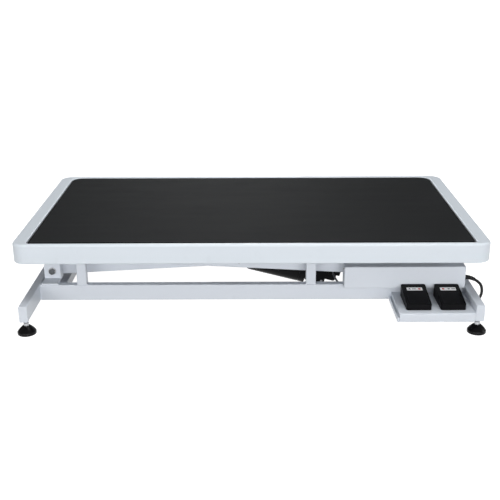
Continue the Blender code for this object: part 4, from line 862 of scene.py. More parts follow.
class Wiring:
    """One material: adds its nodes, links them and feeds its shader."""

    def __init__(self, name):
        self.material = bpy.data.materials.new(MATERIAL_PREFIX + name)
        self.material.use_nodes = True
        self.tree = self.material.node_tree
        self.shader = self.tree.nodes["Principled BSDF"]
        self.place = self.node("ShaderNodeTexCoord").outputs["Object"]

    def node(self, kind, settings=None, sockets=None):
        """A node of one kind: its settings first, then its sockets' values or links."""
        made = self.tree.nodes.new(kind)
        for name, value in (settings or {}).items():
            setattr(made, name, value)
        for name, value in (sockets or {}).items():
            self.feed(made.inputs[name], value)
        return made

    def value(self, kind, settings, sockets):
        return Value(self, self.node(kind, settings, sockets).outputs[0])

    def feed(self, socket, value):
        if isinstance(value, Value):
            value = value.socket
        if isinstance(value, bpy.types.NodeSocket):
            self.tree.links.new(value, socket)
        elif socket.type == "RGBA":
            socket.default_value = (*value[:3], 1.0)
        else:
            socket.default_value = value

    def scaled(self, x, y, z):
        """The object's coordinates stretched along its axes."""
        return self.node("ShaderNodeMapping", None, {"Vector": self.place, "Scale": (x, y, z)}).outputs[0]

    def noise(self, scale, detail=2.0, roughness=0.5, where=None):
        sockets = {"Vector": where or self.place, "Scale": scale, "Detail": detail, "Roughness": roughness}
        return self.value("ShaderNodeTexNoise", None, sockets)

    def cells(self, scale, where=None, feature="F1"):
        sockets = {"Vector": where or self.place, "Scale": scale}
        return self.value("ShaderNodeTexVoronoi", {"feature": feature}, sockets)

    def along(self, axis):
        """One of the object's coordinates, as a number."""
        node = self.node("ShaderNodeSeparateXYZ", None, {0: self.place})
        return Value(self, node.outputs[axis])

    def facing_up(self):
        """How far the surface faces up or down, from 0 to 1."""
        normal = self.node("ShaderNodeNewGeometry").outputs["Normal"]
        node = self.node("ShaderNodeSeparateXYZ", None, {0: normal})
        return abs(Value(self, node.outputs[2]))

    def mix(self, share, one, two):
        """A share of the way from one colour to another, by the Mix node's colour sockets."""
        settings = {"data_type": "RGBA", "clamp_factor": True}
        return self.node("ShaderNodeMix", settings, {0: share, 6: one, 7: two}).outputs[2]

    def bump(self, height, strength, distance):
        sockets = {"Height": height, "Strength": strength, "Distance": distance}
        return self.node("ShaderNodeBump", None, sockets).outputs[0]

    def surface(self, **sockets):
        """Feeds the shader's sockets, named with underscores for spaces."""
        for name, value in sockets.items():
            self.feed(self.shader.inputs[name.replace("_", " ")], value)
        return self.material


class Sky(Wiring):
    """The light from all round, by its direction, with a plain white backdrop."""

    def __init__(self, name):
        self.world = bpy.data.worlds.new(name)
        self.world.use_nodes = True
        self.tree = self.world.node_tree
        self.shader = self.tree.nodes["Background"]
        self.place = self.node("ShaderNodeTexCoord").outputs["Generated"]

    def lit(self, strength):
        """White above and in front, with a dim wall behind the table."""
        behind = self.along(1).ease(0.0, 0.7)
        low = 1 - self.along(2).ease(0.45, 0.85)
        walls = self.mix(behind * low, (1.0, 1.0, 1.0), (0.10, 0.10, 0.105))
        below = 1 - self.along(2).ease(-0.35, 0.0)
        self.feed(self.shader.inputs["Color"], self.mix(below, walls, (0.30, 0.31, 0.33)))
        self.feed(self.shader.inputs["Strength"], strength)
        backdrop = self.node("ShaderNodeBackground", None, {"Color": (1.0, 1.0, 1.0), "Strength": 1.0})
        seen = self.node("ShaderNodeLightPath").outputs["Is Camera Ray"]
        sockets = {0: seen, 1: self.shader.outputs[0], 2: backdrop.outputs[0]}
        both = self.node("ShaderNodeMixShader", None, sockets)
        self.feed(self.tree.nodes["World Output"].inputs["Surface"], both.outputs[0])
        return self.world


def tint(colour, factor):
    """A colour made darker or lighter by a factor."""
    return tuple(min(1.0, part * factor) for part in colour)


def powder_coat(name, setting, roughness, peel_strength):
    """Baked powder coat: faint orange peel, a cloudy gloss and a little dust in its grain."""
    paint = Wiring(name)
    colour = tuple(getattr(look(), setting))
    cloud = paint.noise(3.0, 3.0)
    peel = paint.noise(380.0, 2.0)
    grain = paint.noise(2300.0, 1.0)
    dust = paint.noise(38.0, 5.0, 0.6).ease(0.56, 0.78)
    fresh = paint.mix(cloud * 0.7 + peel * 0.3, tint(colour, 0.965), tint(colour, 1.03))
    return paint.surface(
        Base_Color=paint.mix(dust * 0.12, fresh, tint(colour, 0.78)),
        Roughness=roughness + cloud.swing(0.10) + grain.swing(0.08) + dust * 0.05,
        Normal=paint.bump(peel * 0.8 + grain * 0.2, peel_strength, 0.0003),
        IOR=1.48,
        Coat_Weight=0.15,
        Coat_Roughness=0.18,
    )


def mat_rubber(name):
    """Matt rubber with a fine pebble and faint rolling marks, painted shade in a band along its front and
    sides, and a raised rib with a painted highlight.
    """
    rubber = Wiring(name)
    colour = tuple(look().mat)
    low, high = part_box("table_mat")
    from_front = rubber.along(1) - low.y
    # Painted shade: a dark band along the front edge and along both sides, as if the gap to the rim lay in
    # shadow
    front_shade = 1 - from_front.ease(MAT_FRONT_SHADE - MAT_FRONT_SHADE_BLUR, MAT_FRONT_SHADE + MAT_FRONT_SHADE_BLUR)
    side_shade = abs(rubber.along(0)).ease(high.x - MAT_SIDE_SHADE, high.x - MAT_SIDE_SHADE_END)
    # A rib behind the front band: raised in the bump, and painted lighter as a painted highlight along the
    # edge
    highlight_rib_end = MAT_FRONT_SHADE + MAT_HIGHLIGHT_RIB
    rise = from_front.ease(MAT_FRONT_SHADE, MAT_FRONT_SHADE + MAT_HIGHLIGHT_RIB_SLOPE)
    highlight_rib = rise * (1 - from_front.ease(highlight_rib_end, highlight_rib_end + MAT_HIGHLIGHT_RIB_SLOPE))
    pebble = rubber.cells(950.0)
    rolled = rubber.noise(30.0, 3.0, where=rubber.scaled(0.15, 1.0, 1.0))
    scuff = rubber.noise(7.0, 6.0, 0.65).ease(0.45, 0.80)
    base = rubber.mix(rolled, tint(colour, 0.86), tint(colour, 1.16))
    flat = rubber.mix(scuff * 0.35 + (1 - pebble) * 0.08, base, tint(colour, 1.7))
    # Painted highlight: the rib is painted much lighter than the mat
    with_highlight = rubber.mix(highlight_rib * 0.7, flat, tint(colour, 2.6))
    # The base colour carries the painted shade along the front and sides, painted nearly black
    return rubber.surface(
        Base_Color=rubber.mix(front_shade * 0.8 + side_shade * 0.8, with_highlight, tint(colour, 0.15)),
        Roughness=0.62 + rolled.swing(0.12) + scuff * 0.08 + front_shade * 0.2,
        Normal=rubber.bump(pebble * 0.8 + rolled * 0.4 + highlight_rib * 0.6, 0.35, 0.00025),
        Specular_IOR_Level=0.08,
    )


def moulded_plastic(name, roughness, grain_scale, shine):
    """Black moulded plastic: a spark-eroded grain, smoother where hands and shoes rub."""
    plastic = Wiring(name)
    colour = tuple(look().plastic)
    grain = plastic.cells(grain_scale)
    flow = plastic.noise(45.0, 4.0, 0.6)
    rubbed = plastic.noise(14.0, 3.0).ease(0.5, 0.75)
    return plastic.surface(
        Base_Color=plastic.mix(flow * 0.6 + rubbed * 0.3, tint(colour, 0.8), tint(colour, 1.5)),
        Roughness=roughness + flow.swing(0.12) - rubbed * 0.06,
        Normal=plastic.bump(grain, 0.22, 0.0002),
        Specular_IOR_Level=shine,
    )


def zinc(name):
    """Zinc plate: pale spangle, drawing marks and a slightly yellow passivation."""
    metal = Wiring(name)
    spangle = metal.cells(160.0)
    drawn = metal.noise(120.0, 3.0, where=metal.scaled(0.08, 1.0, 1.0))
    stain = metal.noise(18.0, 4.0, 0.6).ease(0.45, 0.8)
    bright = metal.mix(spangle * 0.6 + drawn * 0.4, (0.36, 0.37, 0.39), (0.54, 0.55, 0.57))
    return metal.surface(
        Base_Color=metal.mix(stain * 0.35, bright, (0.46, 0.44, 0.38)),
        Roughness=0.30 + spangle * 0.10 + drawn * 0.10 + stain * 0.08,
        Normal=metal.bump(drawn, 0.12, 0.0002),
        Metallic=1.0,
    )


def bolt_steel(name):
    """Darkened steel of the bolt heads, brighter where a spanner has rubbed."""
    metal = Wiring(name)
    mottle = metal.noise(150.0, 3.0)
    rubbed = metal.noise(60.0, 4.0, 0.6).ease(0.55, 0.75)
    return metal.surface(
        Base_Color=metal.mix(mottle * 0.6 + rubbed * 0.5, (0.07, 0.075, 0.08), (0.20, 0.205, 0.21)),
        Roughness=0.36 + mottle.swing(0.12),
        Normal=metal.bump(mottle, 0.10, 0.0002),
        Metallic=1.0,
    )


def nylon(name):
    """Off-white nylon rollers: turned rings, with a grey wear band from the track."""
    plastic = Wiring(name)
    mottle = plastic.noise(60.0, 3.0)
    rings = plastic.noise(900.0, 1.0, where=plastic.scaled(0.05, 1.0, 0.05))
    worn = plastic.noise(22.0, 5.0, 0.7).ease(0.42, 0.75)
    clean = plastic.mix(mottle, (0.66, 0.65, 0.60), (0.76, 0.75, 0.70))
    return plastic.surface(
        Base_Color=plastic.mix(worn * 0.30, clean, (0.36, 0.35, 0.33)),
        Roughness=0.40 + mottle.swing(0.1) + worn * 0.12,
        Normal=plastic.bump(rings, 0.15, 0.0002),
    )


def plywood(name):
    """Film-faced plywood: a dark film with faint grain on its faces, and plies along its edges."""
    wood = Wiring(name)
    grain = wood.noise(26.0, 5.0, 0.6, wood.scaled(0.10, 1.0, 1.0))
    fibre = wood.noise(420.0, 2.0, where=wood.scaled(0.04, 1.0, 1.0))
    figure = wood.value(
        "ShaderNodeTexWave",
        {"wave_type": "BANDS", "bands_direction": "Y"},
        {"Vector": wood.scaled(0.25, 1.0, 1.0), "Scale": 9.0, "Distortion": 7.0, "Detail": 3.0},
    )
    face = wood.mix(grain * 0.6 + figure * 0.4, (0.035, 0.027, 0.022), (0.020, 0.015, 0.013))
    ply = ((wood.along(2) % PLY_THICK) / PLY_THICK).ease(0.42, 0.58)
    edge = wood.mix(ply * 0.8 + fibre * 0.2, (0.60, 0.45, 0.29), (0.30, 0.19, 0.11))
    flat = wood.facing_up().ease(0.6, 0.9)
    return wood.surface(
        Base_Color=wood.mix(flat, edge, face),
        Roughness=0.68 + fibre.swing(0.2),
        Normal=wood.bump(grain * 0.6 + fibre * 0.4, 0.25, 0.0004),
    )


def circuit(name):
    """A green circuit board with paler tracks."""
    board = Wiring(name)
    tracks = board.cells(140.0, board.scaled(1.0, 0.2, 1.0), "DISTANCE_TO_EDGE").ease(0.03, 0.05)
    solder = board.noise(300.0, 2.0).ease(0.6, 0.66)
    mask = board.mix(tracks, (0.04, 0.22, 0.10), (0.012, 0.09, 0.04))
    return board.surface(
        Base_Color=board.mix(solder * 0.4, mask, (0.55, 0.55, 0.52)),
        Roughness=0.32 + (1 - tracks) * 0.2,
        Normal=board.bump(1 - tracks, 0.3, 0.0002),
    )


def sheath(name, low, high, roughness):
    """The drawn sheath of a cable: faint lengthwise streaks and a dusty bloom."""
    rubber = Wiring(name)
    streak = rubber.noise(210.0, 3.0)
    bloom = rubber.noise(26.0, 4.0, 0.6).ease(0.45, 0.8)
    grain = rubber.noise(1800.0, 1.0)
    return rubber.surface(
        Base_Color=rubber.mix(streak * 0.6 + bloom * 0.4, low, high),
        Roughness=roughness + streak.swing(0.12) + bloom * 0.1,
        Normal=rubber.bump(grain * 0.6 + streak * 0.4, 0.18, 0.0002),
        Specular_IOR_Level=0.2,
    )


def black_enamel(name):
    """Semi-gloss black enamel over the actuator's drawn tube and motor can."""
    enamel = Wiring(name)
    peel = enamel.noise(520.0, 2.0)
    drawn = enamel.noise(60.0, 3.0, where=enamel.scaled(0.1, 1.0, 1.0))
    chips = enamel.noise(90.0, 6.0, 0.7).ease(0.70, 0.74)
    base = enamel.mix(drawn, (0.004, 0.004, 0.005), (0.008, 0.008, 0.009))
    return enamel.surface(
        Base_Color=enamel.mix(chips * 0.5, base, (0.10, 0.10, 0.11)),
        Roughness=0.34 + drawn.swing(0.1) + chips * 0.2,
        Metallic=chips * 0.6,
        Specular_IOR_Level=0.1,
        Normal=enamel.bump(peel, 0.12, 0.0003),
    )


def nickel(name):
    """Nickel plate, drawn along the plug's pins."""
    metal = Wiring(name)
    rub = metal.noise(900.0, 2.0, where=metal.scaled(0.08, 1.0, 1.0))
    return metal.surface(
        Base_Color=metal.mix(rub, (0.62, 0.60, 0.55), (0.80, 0.78, 0.72)),
        Roughness=0.22 + rub * 0.14,
        Normal=metal.bump(rub, 0.08, 0.0001),
        Metallic=1.0,
    )


def printed(name, colour):
    """Print on a vinyl label: a little uneven, under a thin film."""
    ink = Wiring(name)
    fibre = ink.noise(1400.0, 3.0)
    smear = ink.noise(90.0, 4.0, 0.6).ease(0.5, 0.8)
    return ink.surface(
        Base_Color=ink.mix(smear * 0.15 + fibre * 0.08, colour, tint(colour, 0.7)),
        Roughness=0.34 + fibre * 0.1,
        Normal=ink.bump(fibre, 0.06, 0.0001),
        Coat_Weight=0.2,
    )


def studio_floor(name):
    """A matt white floor that gives off some light, so that it shows as white."""
    floor = Wiring(name)
    colour = tuple(bpy.context.scene.grooming_studio.floor)
    cloud = floor.noise(0.6, 4.0)
    grain = floor.noise(240.0, 2.0)
    return floor.surface(
        Base_Color=floor.mix(cloud, tint(colour, 0.985), colour),
        Roughness=0.7 + cloud.swing(0.1),
        Normal=floor.bump(grain, 0.05, 0.0002),
        Specular_IOR_Level=0.05,
        Emission_Color=floor.mix(cloud, (0.99, 0.99, 0.99), (1.0, 1.0, 1.0)),
        Emission_Strength=bpy.context.scene.grooming_studio.glow,
    )


# Each finish: its slot, the function that makes its material, and what that
# needs besides the finish's name
FINISHES = {
    "coat": ("paint", powder_coat, "coat", 0.42, 0.16),
    "rim_coat": ("rim_paint", powder_coat, "rim", 0.33, 0.10),
    "mat_rubber": ("mat_rubber", mat_rubber),
    "black_plastic": ("black_plastic", moulded_plastic, 0.46, 1500.0, 0.07),
    "foot_plastic": ("black_plastic", moulded_plastic, 0.28, 900.0, 0.16),
    "zinc": ("zinc", zinc),
    "bolt_steel": ("zinc", bolt_steel),
    "nylon": ("nylon", nylon),
    "plywood": ("plywood", plywood),
    "circuit": ("circuit", circuit),
    "cord_rubber": ("cord_rubber", sheath, (0.006, 0.006, 0.007), (0.016, 0.016, 0.017), 0.52),
    "grey_lead": ("grey_lead", sheath, (0.20, 0.20, 0.22), (0.32, 0.32, 0.34), 0.55),
    "black_enamel": ("black_metal", black_enamel),
    "nickel": ("cord_rubber", nickel),
    "label_white": (None, printed, (0.92, 0.92, 0.92)),
    "label_red": (None, printed, (0.62, 0.012, 0.016)),
    "label_black": (None, printed, (0.018, 0.018, 0.020)),
    "studio_floor": (None, studio_floor),
}


def material(finish):
    """A finish's material, made when it is first asked for."""
    made = bpy.data.materials.get(MATERIAL_PREFIX + finish)
    if made:
        return made
    _, make, *details = FINISHES[finish]
    return make(finish, *details)


# The tabletop


def corner_test(low, high, x_sign, y_sign):
    """Makes the test whether an edge is one upright corner of a block."""

    def test(edge):
        middle = (edge.verts[0].co + edge.verts[1].co) / 2
        right_x = (middle.x - (low.x + high.x) / 2) * x_sign > CORNER_SHARE * (high.x - low.x)
        right_y = (middle.y - (low.y + high.y) / 2) * y_sign > CORNER_SHARE * (high.y - low.y)
        return upright(edge) and right_x and right_y

    return test


def at_level(height):
    """Makes the test whether a sharp edge lies at one height."""

    def test(edge):
        return all(abs(v.co.z - height) < TINY for v in edge.verts) and sharp(edge)

    return test


def rounded_plate(name, low, high, front, rear):
    """A plate with one corner radius in front and another behind."""
    low = Vector(low)
    high = Vector(high)
    thing = cube(name, low, high)
    corners = [
        (corner_test(low, high, x_sign, y_sign), radius, 10)
        for y_sign, radius in ((-1, front), (1, rear))
        for x_sign in (-1, 1)
    ]
    round_edges(thing, *corners)
    return thing


def opening_plate(name, grow, low_z, high_z, front_corner=OPENING_FRONT_CORNER):
    """A plate of the rim's opening, grown or drawn in all round."""
    mat_low, mat_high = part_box("table_mat")
    spread = MAT_GAP + grow
    low = (mat_low.x - spread, mat_low.y - spread, low_z)
    high = (mat_high.x + spread, mat_high.y + spread, high_z)
    return rounded_plate(name, low, high, front_corner + grow, OPENING_REAR_CORNER + grow)


def make_rim():
    """The raised rim: rounded outside, open in the middle and hollow underneath."""
    low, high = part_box("table_rim")
    corner = look().rim_corner
    rim = rounded_plate("rim", low, high, corner, corner)
    round_edges(
        rim, (at_level(high.z), look().rim_round, 6), (at_level(low.z), RIM_FOOT_ROUND, 5)
    )
    cut(rim, opening_plate("opening", 0.0, low.z - THROUGH, high.z + THROUGH))
    inset = Vector((RIM_WALL, RIM_WALL, 0))
    groove_low = low + inset - Vector((0, 0, THROUGH))
    groove_high = high - inset - Vector((0, 0, RIM_WALL))
    groove = rounded_plate("groove", groove_low, groove_high, corner - RIM_WALL, corner - RIM_WALL)
    cut(groove, opening_plate("core", RIM_WALL, low.z - 2 * THROUGH, high.z))
    cut(rim, groove)
    round_edges(
        rim, (at_level(high.z), RIM_OPENING_ROUND, 4), (at_level(low.z), RIM_WALL_ROUND, 2)
    )
    finish_piece(rim, "tabletop", "rim_coat", "table_rim")


def make_mat():
    """The rubber mat, with its upper edge rolled over."""
    low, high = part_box("table_mat")
    mat = opening_plate("mat", -MAT_GAP - MAT_SHRINK, low.z, high.z, MAT_FRONT_CORNER)
    round_edges(mat, (at_level(high.z), look().mat_round, 4))
    finish_piece(mat, "tabletop", "mat_rubber", "table_mat")


class GROOM_OT_rim(bpy.types.Operator):
    """Make the raised rim and the mat inside it"""

    bl_idname = "groom.rim"
    bl_label = "Rim and mat"

    def execute(self, context):
        make_rim()
        make_mat()
        return {"FINISHED"}


class GROOM_OT_deck(bpy.types.Operator):
    """Finish the board, its steel frame, the tracks and the pivot plates under it"""

    bl_idname = "groom.deck"
    bl_label = "Board and top frame"

    def execute(self, context):
        refined("table_board", "plywood")
        refined("top_frame")
        for side, _ in SIDES:
            refined("top_track_" + side, "zinc")
            refined("top_bracket_" + side)
        return {"FINISHED"}


# The base


class GROOM_OT_base(bpy.types.Operator):
    """Make the base tubes, the rest posts, the tracks and the brackets"""

    bl_idname = "groom.base"
    bl_label = "Base frame"

    def execute(self, context):
        for side, _ in SIDES:
            bar(side + "_rail", "X")
            refined("base_track_" + side, "zinc")
            refined("base_bracket_" + side)
            for end in ENDS:
                bar("post_%s_%s" % (side, end), "Z")
        for end in ENDS:
            bar(end + "_end_bar", "Y")
        bar("pivot_beam", "Y")
        refined("actuator_beam")
        return {"FINISHED"}


def make_foot(node):
    """A levelling foot: a domed pad, a threaded stud and a lock nut."""
    low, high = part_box(node)
    centre = Vector(((low.x + high.x) / 2, (low.y + high.y) / 2, low.z))
    profile = [(0.0, PAD_HEIGHT), (PAD_NECK, PAD_HEIGHT)]
    for i in range(1, PAD_STEPS + 1):
        share = i / PAD_STEPS
        fall = (1 - PAD_CROWN) * share + PAD_CROWN * share**3
        across = PAD_NECK + (PAD_RADIUS - PAD_NECK) * share
        profile.append((across, PAD_HEIGHT - (PAD_HEIGHT - PAD_RIM) * fall))
    profile += [(PAD_RADIUS - inward, height) for inward, height in PAD_SOLE]
    profile.append((0.0, PAD_SOLE[-1][1]))
    finish_piece(lathe(node + "_pad", profile, "Z", centre), node, "foot_plastic", node)
    top = high.z - centre.z
    nut_top = PAD_HEIGHT + NUT_HEIGHT
    thread_top = nut_top + THREAD_OVER_NUT
    profile = [(0.0, top), (STUD_RADIUS - STUD_EASE, top), (STUD_RADIUS, top - STUD_EASE)]
    for i in range(int((thread_top - PAD_HEIGHT) / THREAD_PITCH)):
        crest = thread_top - THREAD_PITCH * i
        profile.append((STUD_RADIUS, crest))
        profile.append((STUD_RADIUS - THREAD_DEPTH, crest - THREAD_PITCH / 2))
    foot = PAD_HEIGHT - STUD_SUNK
    profile += [(STUD_RADIUS, PAD_HEIGHT), (STUD_RADIUS, foot), (0.0, foot)]
    stud = lathe(node + "_stud", profile, "Z", centre, FEW_SIDES)
    nut = hexagon("nut", centre, NUT_RADIUS, PAD_HEIGHT + TOUCH, nut_top, "Z")
    finish_piece(gathered(node + "_stud", [stud, nut]), node, "zinc")


class GROOM_OT_feet(bpy.types.Operator):
    """Make the four levelling feet"""

    bl_idname = "groom.feet"
    bl_label = "Feet"

    def execute(self, context):
        for side, _ in SIDES:
            for end in ENDS:
                make_foot("foot_%s_%s" % (side, end))
        return {"FINISHED"}


# The scissor lift


def joint_named(name):
    """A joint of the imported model."""
    for joint in frame["joints"]:
        if joint["name"] == name:
            return joint
    raise RuntimeError("no joint named " + name)


def joint_place(name):
    """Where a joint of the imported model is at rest."""
    return Vector(joint_named(name)["pos_m"])


def rest_line():
    """The lower pivot, the crossing point and the inner arms' angle at rest."""
    pivot = joint_place("lift")
    centre = joint_place("centre_pivot")
    return pivot, centre, math.atan2(centre.z - pivot.z, centre.x - pivot.x)


def arm_faces(kind):
    """The inner and outer Y of one pair of arms."""
    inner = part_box(kind + "_arm_rear")[0].y
    return inner, inner + ARM_WIDTH


def make_arm(node, slope, axle=False):
    """A lift arm: a long tube with soft edges, turned about the crossing point."""
    pivot, centre, _ = rest_line()
    half = (centre - pivot).length
    low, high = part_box(node)
    sign = 1 if high.y > 0 else -1
    inner = min(abs(low.y), abs(high.y))
    outer = sign * (inner + ARM_WIDTH)
    y_low, y_high = sorted((sign * inner, outer))
    reach = half + ARM_END
    arm = cube(node + "_dressed", (-reach, y_low, -TUBE_HEIGHT / 2), (reach, y_high, TUBE_HEIGHT / 2))
    round_bar(arm, "X")
    if axle:
        far = high.y if sign > 0 else low.y
        boss_y = outer + sign * BOSS_LENGTH / 2
        boss = cylinder("boss", (half, boss_y, 0), SPACER_RADIUS, BOSS_LENGTH + BOSS_SUNK, "Y")
        pin = cylinder("axle", (half, (outer + far) / 2, 0), SHAFT_RADIUS, abs(far - outer), "Y")
        unite(arm, boss, pin)
    finish_piece(placed(arm, centre, (0, -slope, 0)), body_of(node), "coat", node)


class GROOM_OT_arms(bpy.types.Operator):
    """Make the lift arms, the tubes that tie them and the levers"""

    bl_idname = "groom.arms"
    bl_label = "Lift arms"

    def execute(self, context):
        slope = rest_line()[2]
        for side, _ in SIDES:
            make_arm("inner_arm_" + side, slope)
            make_arm("outer_arm_" + side, -slope, axle=True)
        for node in ("lift_tube", "outer_arm_upper_tie", "outer_arm_lower_tie"):
            refined(node)
        return {"FINISHED"}


def shaft_piece(node, profile, heads=()):
    """A turned shaft or bolt across the table, with its hexagon heads."""
    low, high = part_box(node)
    centre = Vector(((low.x + high.x) / 2, 0, (low.z + high.z) / 2))
    finish_piece(lathe(node + "_dressed", profile, "Y", centre), body_of(node), "zinc", node)
    if heads:
        bolts = [hexagon("head", centre, HEAD_RADIUS, *sorted(ends), "Y") for ends in heads]
        finish_piece(gathered(node + "_heads", bolts), body_of(node), "bolt_steel")


def washer(place, outward):
    """Profile points of a washer that lies against a face, read away from the middle."""
    far = place + outward * WASHER_THICK
    return [
        (SHAFT_RADIUS, place),
        (WASHER_RADIUS - WASHER_EASE, place),
        (WASHER_RADIUS, place + outward * WASHER_EASE),
        (WASHER_RADIUS, place + outward * (WASHER_THICK - WASHER_EASE)),
        (WASHER_RADIUS - WASHER_EASE, far),
        (SHAFT_RADIUS, far),
    ]


def headed_end(reach, face):
    """Profile points from a shaft's end in its head to the washer on the outermost face."""
    end = reach - HEAD_RECESS
    return [(0.0, end), (SHAFT_RADIUS, end), *reversed(washer(face + TOUCH, 1))]


def make_pivot_shaft(node, spacer):
    """A pivot shaft: spacers between its arms and plates, and a washer and a head at each end."""
    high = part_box(node)[1].y
    head = high - HEAD_HEIGHT
    bracket_out = head - WASHER_THICK - TOUCH
    bracket_in = bracket_out - BRACKET_THICK
    half = headed_end(high, bracket_out)
    half += [(SHAFT_RADIUS, bracket_in - TOUCH), (SPACER_RADIUS, bracket_in - TOUCH)]
    half += [(SPACER_RADIUS, spacer + TOUCH), (SHAFT_RADIUS, spacer + TOUCH)]
    shaft_piece(node, mirrored(half), ((head, high), (-head, -high)))


def make_centre_bolt(side, sign):
    """A shoulder bolt where the arms cross."""
    node = "centre_bolt_" + side
    low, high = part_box(node)
    nut_end, head_end = sorted((abs(low.y), abs(high.y)))
    inner_in, inner_out = arm_faces("inner")
    outer_in, outer_out = arm_faces("outer")
    profile = headed_end(head_end, outer_out)
    profile += [
        (SHAFT_RADIUS, outer_in - TOUCH),
        (WASHER_RADIUS, outer_in - TOUCH),
        (WASHER_RADIUS, inner_out + TOUCH),
        (SHAFT_RADIUS, inner_out + TOUCH),
        (SHAFT_RADIUS, inner_in - TOUCH),
    ]
    profile += washer(inner_in - TOUCH, -1)[1:]
    profile += [(SHAFT_RADIUS - BOLT_TIP_EASE, nut_end), (0.0, nut_end)]
    profile = [(radius, sign * place) for radius, place in profile]
    head = outer_out + TOUCH + WASHER_THICK
    nut = inner_in - TOUCH - WASHER_THICK
    heads = ((sign * head, sign * head_end), (sign * nut, sign * (nut - HEAD_HEIGHT)))
    shaft_piece(node, profile, heads)


def make_cross_shaft():
    """The stepped shaft that carries the upper rollers."""
    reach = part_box("top_roller_shaft")[1].y
    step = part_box("top_roller_rear")[0].y - TOUCH
    half = [
        (0.0, reach),
        (SHAFT_RADIUS - CROSS_SHAFT_TIP_EASE, reach),
        (SHAFT_RADIUS, reach - CROSS_SHAFT_TIP_EASE),
        (SHAFT_RADIUS, step),
        (CROSS_SHAFT_RADIUS - CROSS_SHAFT_EASE, step),
        (CROSS_SHAFT_RADIUS, step - CROSS_SHAFT_EASE),
    ]
    shaft_piece("top_roller_shaft", mirrored(half))


def make_roller(node):
    """A nylon roller: a bored hub, a sunk web and a rounded tread."""
    low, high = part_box(node)
    radius = (high.z - low.z) / 2
    half = (high.y - low.y) / 2
    web = half - ROLLER_WEB_DEPTH
    tread = radius - ROLLER_TREAD
    hub = SPACER_RADIUS + ROLLER_HUB
    bore = SHAFT_RADIUS + TOUCH
    eased = half - ROLLER_EASE
    side = [
        (bore, eased),
        (bore + ROLLER_EASE, half),
        (hub - ROLLER_EASE, half),
        (hub, eased),
        (hub + ROLLER_FILLET_MIDDLE, web + ROLLER_EASE),
        (hub + ROLLER_FILLET, web),
        (tread - ROLLER_FILLET, web),
        (tread - ROLLER_FILLET_MIDDLE, web + ROLLER_EASE),
        (tread, eased),
        (tread + ROLLER_EASE, half),
        (radius - ROLLER_TREAD_ROUND, half),
        (radius - ROLLER_TREAD_MIDDLE, half - ROLLER_TREAD_MIDDLE),
        (radius, half - ROLLER_TREAD_ROUND),
    ]
    roller = lathe(node + "_dressed", mirrored(side), "Y", (low + high) / 2, closed=True)
    finish_piece(roller, node, "nylon", node)


class GROOM_OT_pivots(bpy.types.Operator):
    """Make the pivot shafts, the crossing bolts and the rollers"""

    bl_idname = "groom.pivots"
    bl_label = "Shafts, bolts and rollers"

    def execute(self, context):
        make_pivot_shaft("base_pivot_shaft", arm_faces("inner")[1])
        make_pivot_shaft("top_pivot_shaft", arm_faces("outer")[1])
        make_cross_shaft()
        for side, sign in SIDES:
            make_centre_bolt(side, sign)
            make_roller("base_roller_" + side)
            make_roller("top_roller_" + side)
        return {"FINISHED"}


# The actuator


def actuator_place():
    """The clevis pin's place and the actuator's tilt at rest."""
    axis = Vector(joint_named("rod_slide")["axis"])
    return joint_place("actuator_tilt"), math.atan2(axis.z, -axis.x)


def along_actuator(thing):
    """Turns a piece that was made along -X at the origin into the actuator's place."""
    place, tilt = actuator_place()
    return placed(thing, place, (0, tilt, 0))


def pan_screw(centre, radius, facing=(0, -1, 0)):
    """A small domed screw with a cross recess, which faces one way."""
    height = radius * SCREW_HEIGHT
    profile = [(radius * across, height * up) for across, up in SCREW_DOME]
    profile += [(radius, -SCREW_SUNK), (0.0, -SCREW_SUNK)]
    screw = lathe("screw", profile, "Z", sides=FEW_SIDES)
    slot = radius * RECESS_WIDTH
    reach = radius * RECESS_REACH
    floor = height * RECESS_FLOOR
    top = height * RECESS_TOP
    cross = cube("slot", (-reach, -slot, floor), (reach, slot, top))
    unite(cross, cube("slot", (-slot, -reach, floor), (slot, reach, top)))
    cut(screw, cross)
    turn = Vector((0, 0, 1)).rotation_difference(Vector(facing))
    return placed(screw, centre, turn.to_euler())


def make_gearbox():
    """The actuator's gearbox and the screws along its front."""
    refined("actuator_gearbox", "black_plastic", GEARBOX_ROUND)
    place, tilt = actuator_place()
    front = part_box("actuator_gearbox")[0].y
    turn = Matrix.Translation(place) @ Matrix.Rotation(tilt, 4, "Y")
    screws = [
        pan_screw(turn @ Vector((-along, front, up)), GEARBOX_SCREW_RADIUS)
        for along, up in GEARBOX_SCREWS
    ]
    finish_piece(gathered("gearbox_screws", screws), "actuator", "zinc")


def make_actuator_tube():
    """The drawn tube, its thicker collar and the bore that the rod slides in."""
    start = GEARBOX_START + GEARBOX_LENGTH + TOUCH
    mouth = -TUBE_END
    shoulder = mouth + COLLAR_LENGTH
    collar = TUBE_RADIUS + COLLAR_STEP
    bore = ROD_RADIUS + BORE_GAP
    profile = [(0.0, -start), (TUBE_RADIUS, -start), (TUBE_RADIUS, shoulder)]
    profile += [(collar - inward, shoulder - back) for inward, back in COLLAR_SHOULDER]
    profile += [(collar - inward, mouth + back) for inward, back in COLLAR_MOUTH]
    profile += [(bore + BORE_EASE, mouth), (bore, mouth + BORE_EASE)]
    profile += [(bore, mouth + BORE_DEPTH), (0.0, mouth + BORE_DEPTH)]
    tube = along_actuator(lathe("actuator_tube_dressed", profile, "X"))
    finish_piece(tube, "actuator", "black_enamel", "actuator_tube")


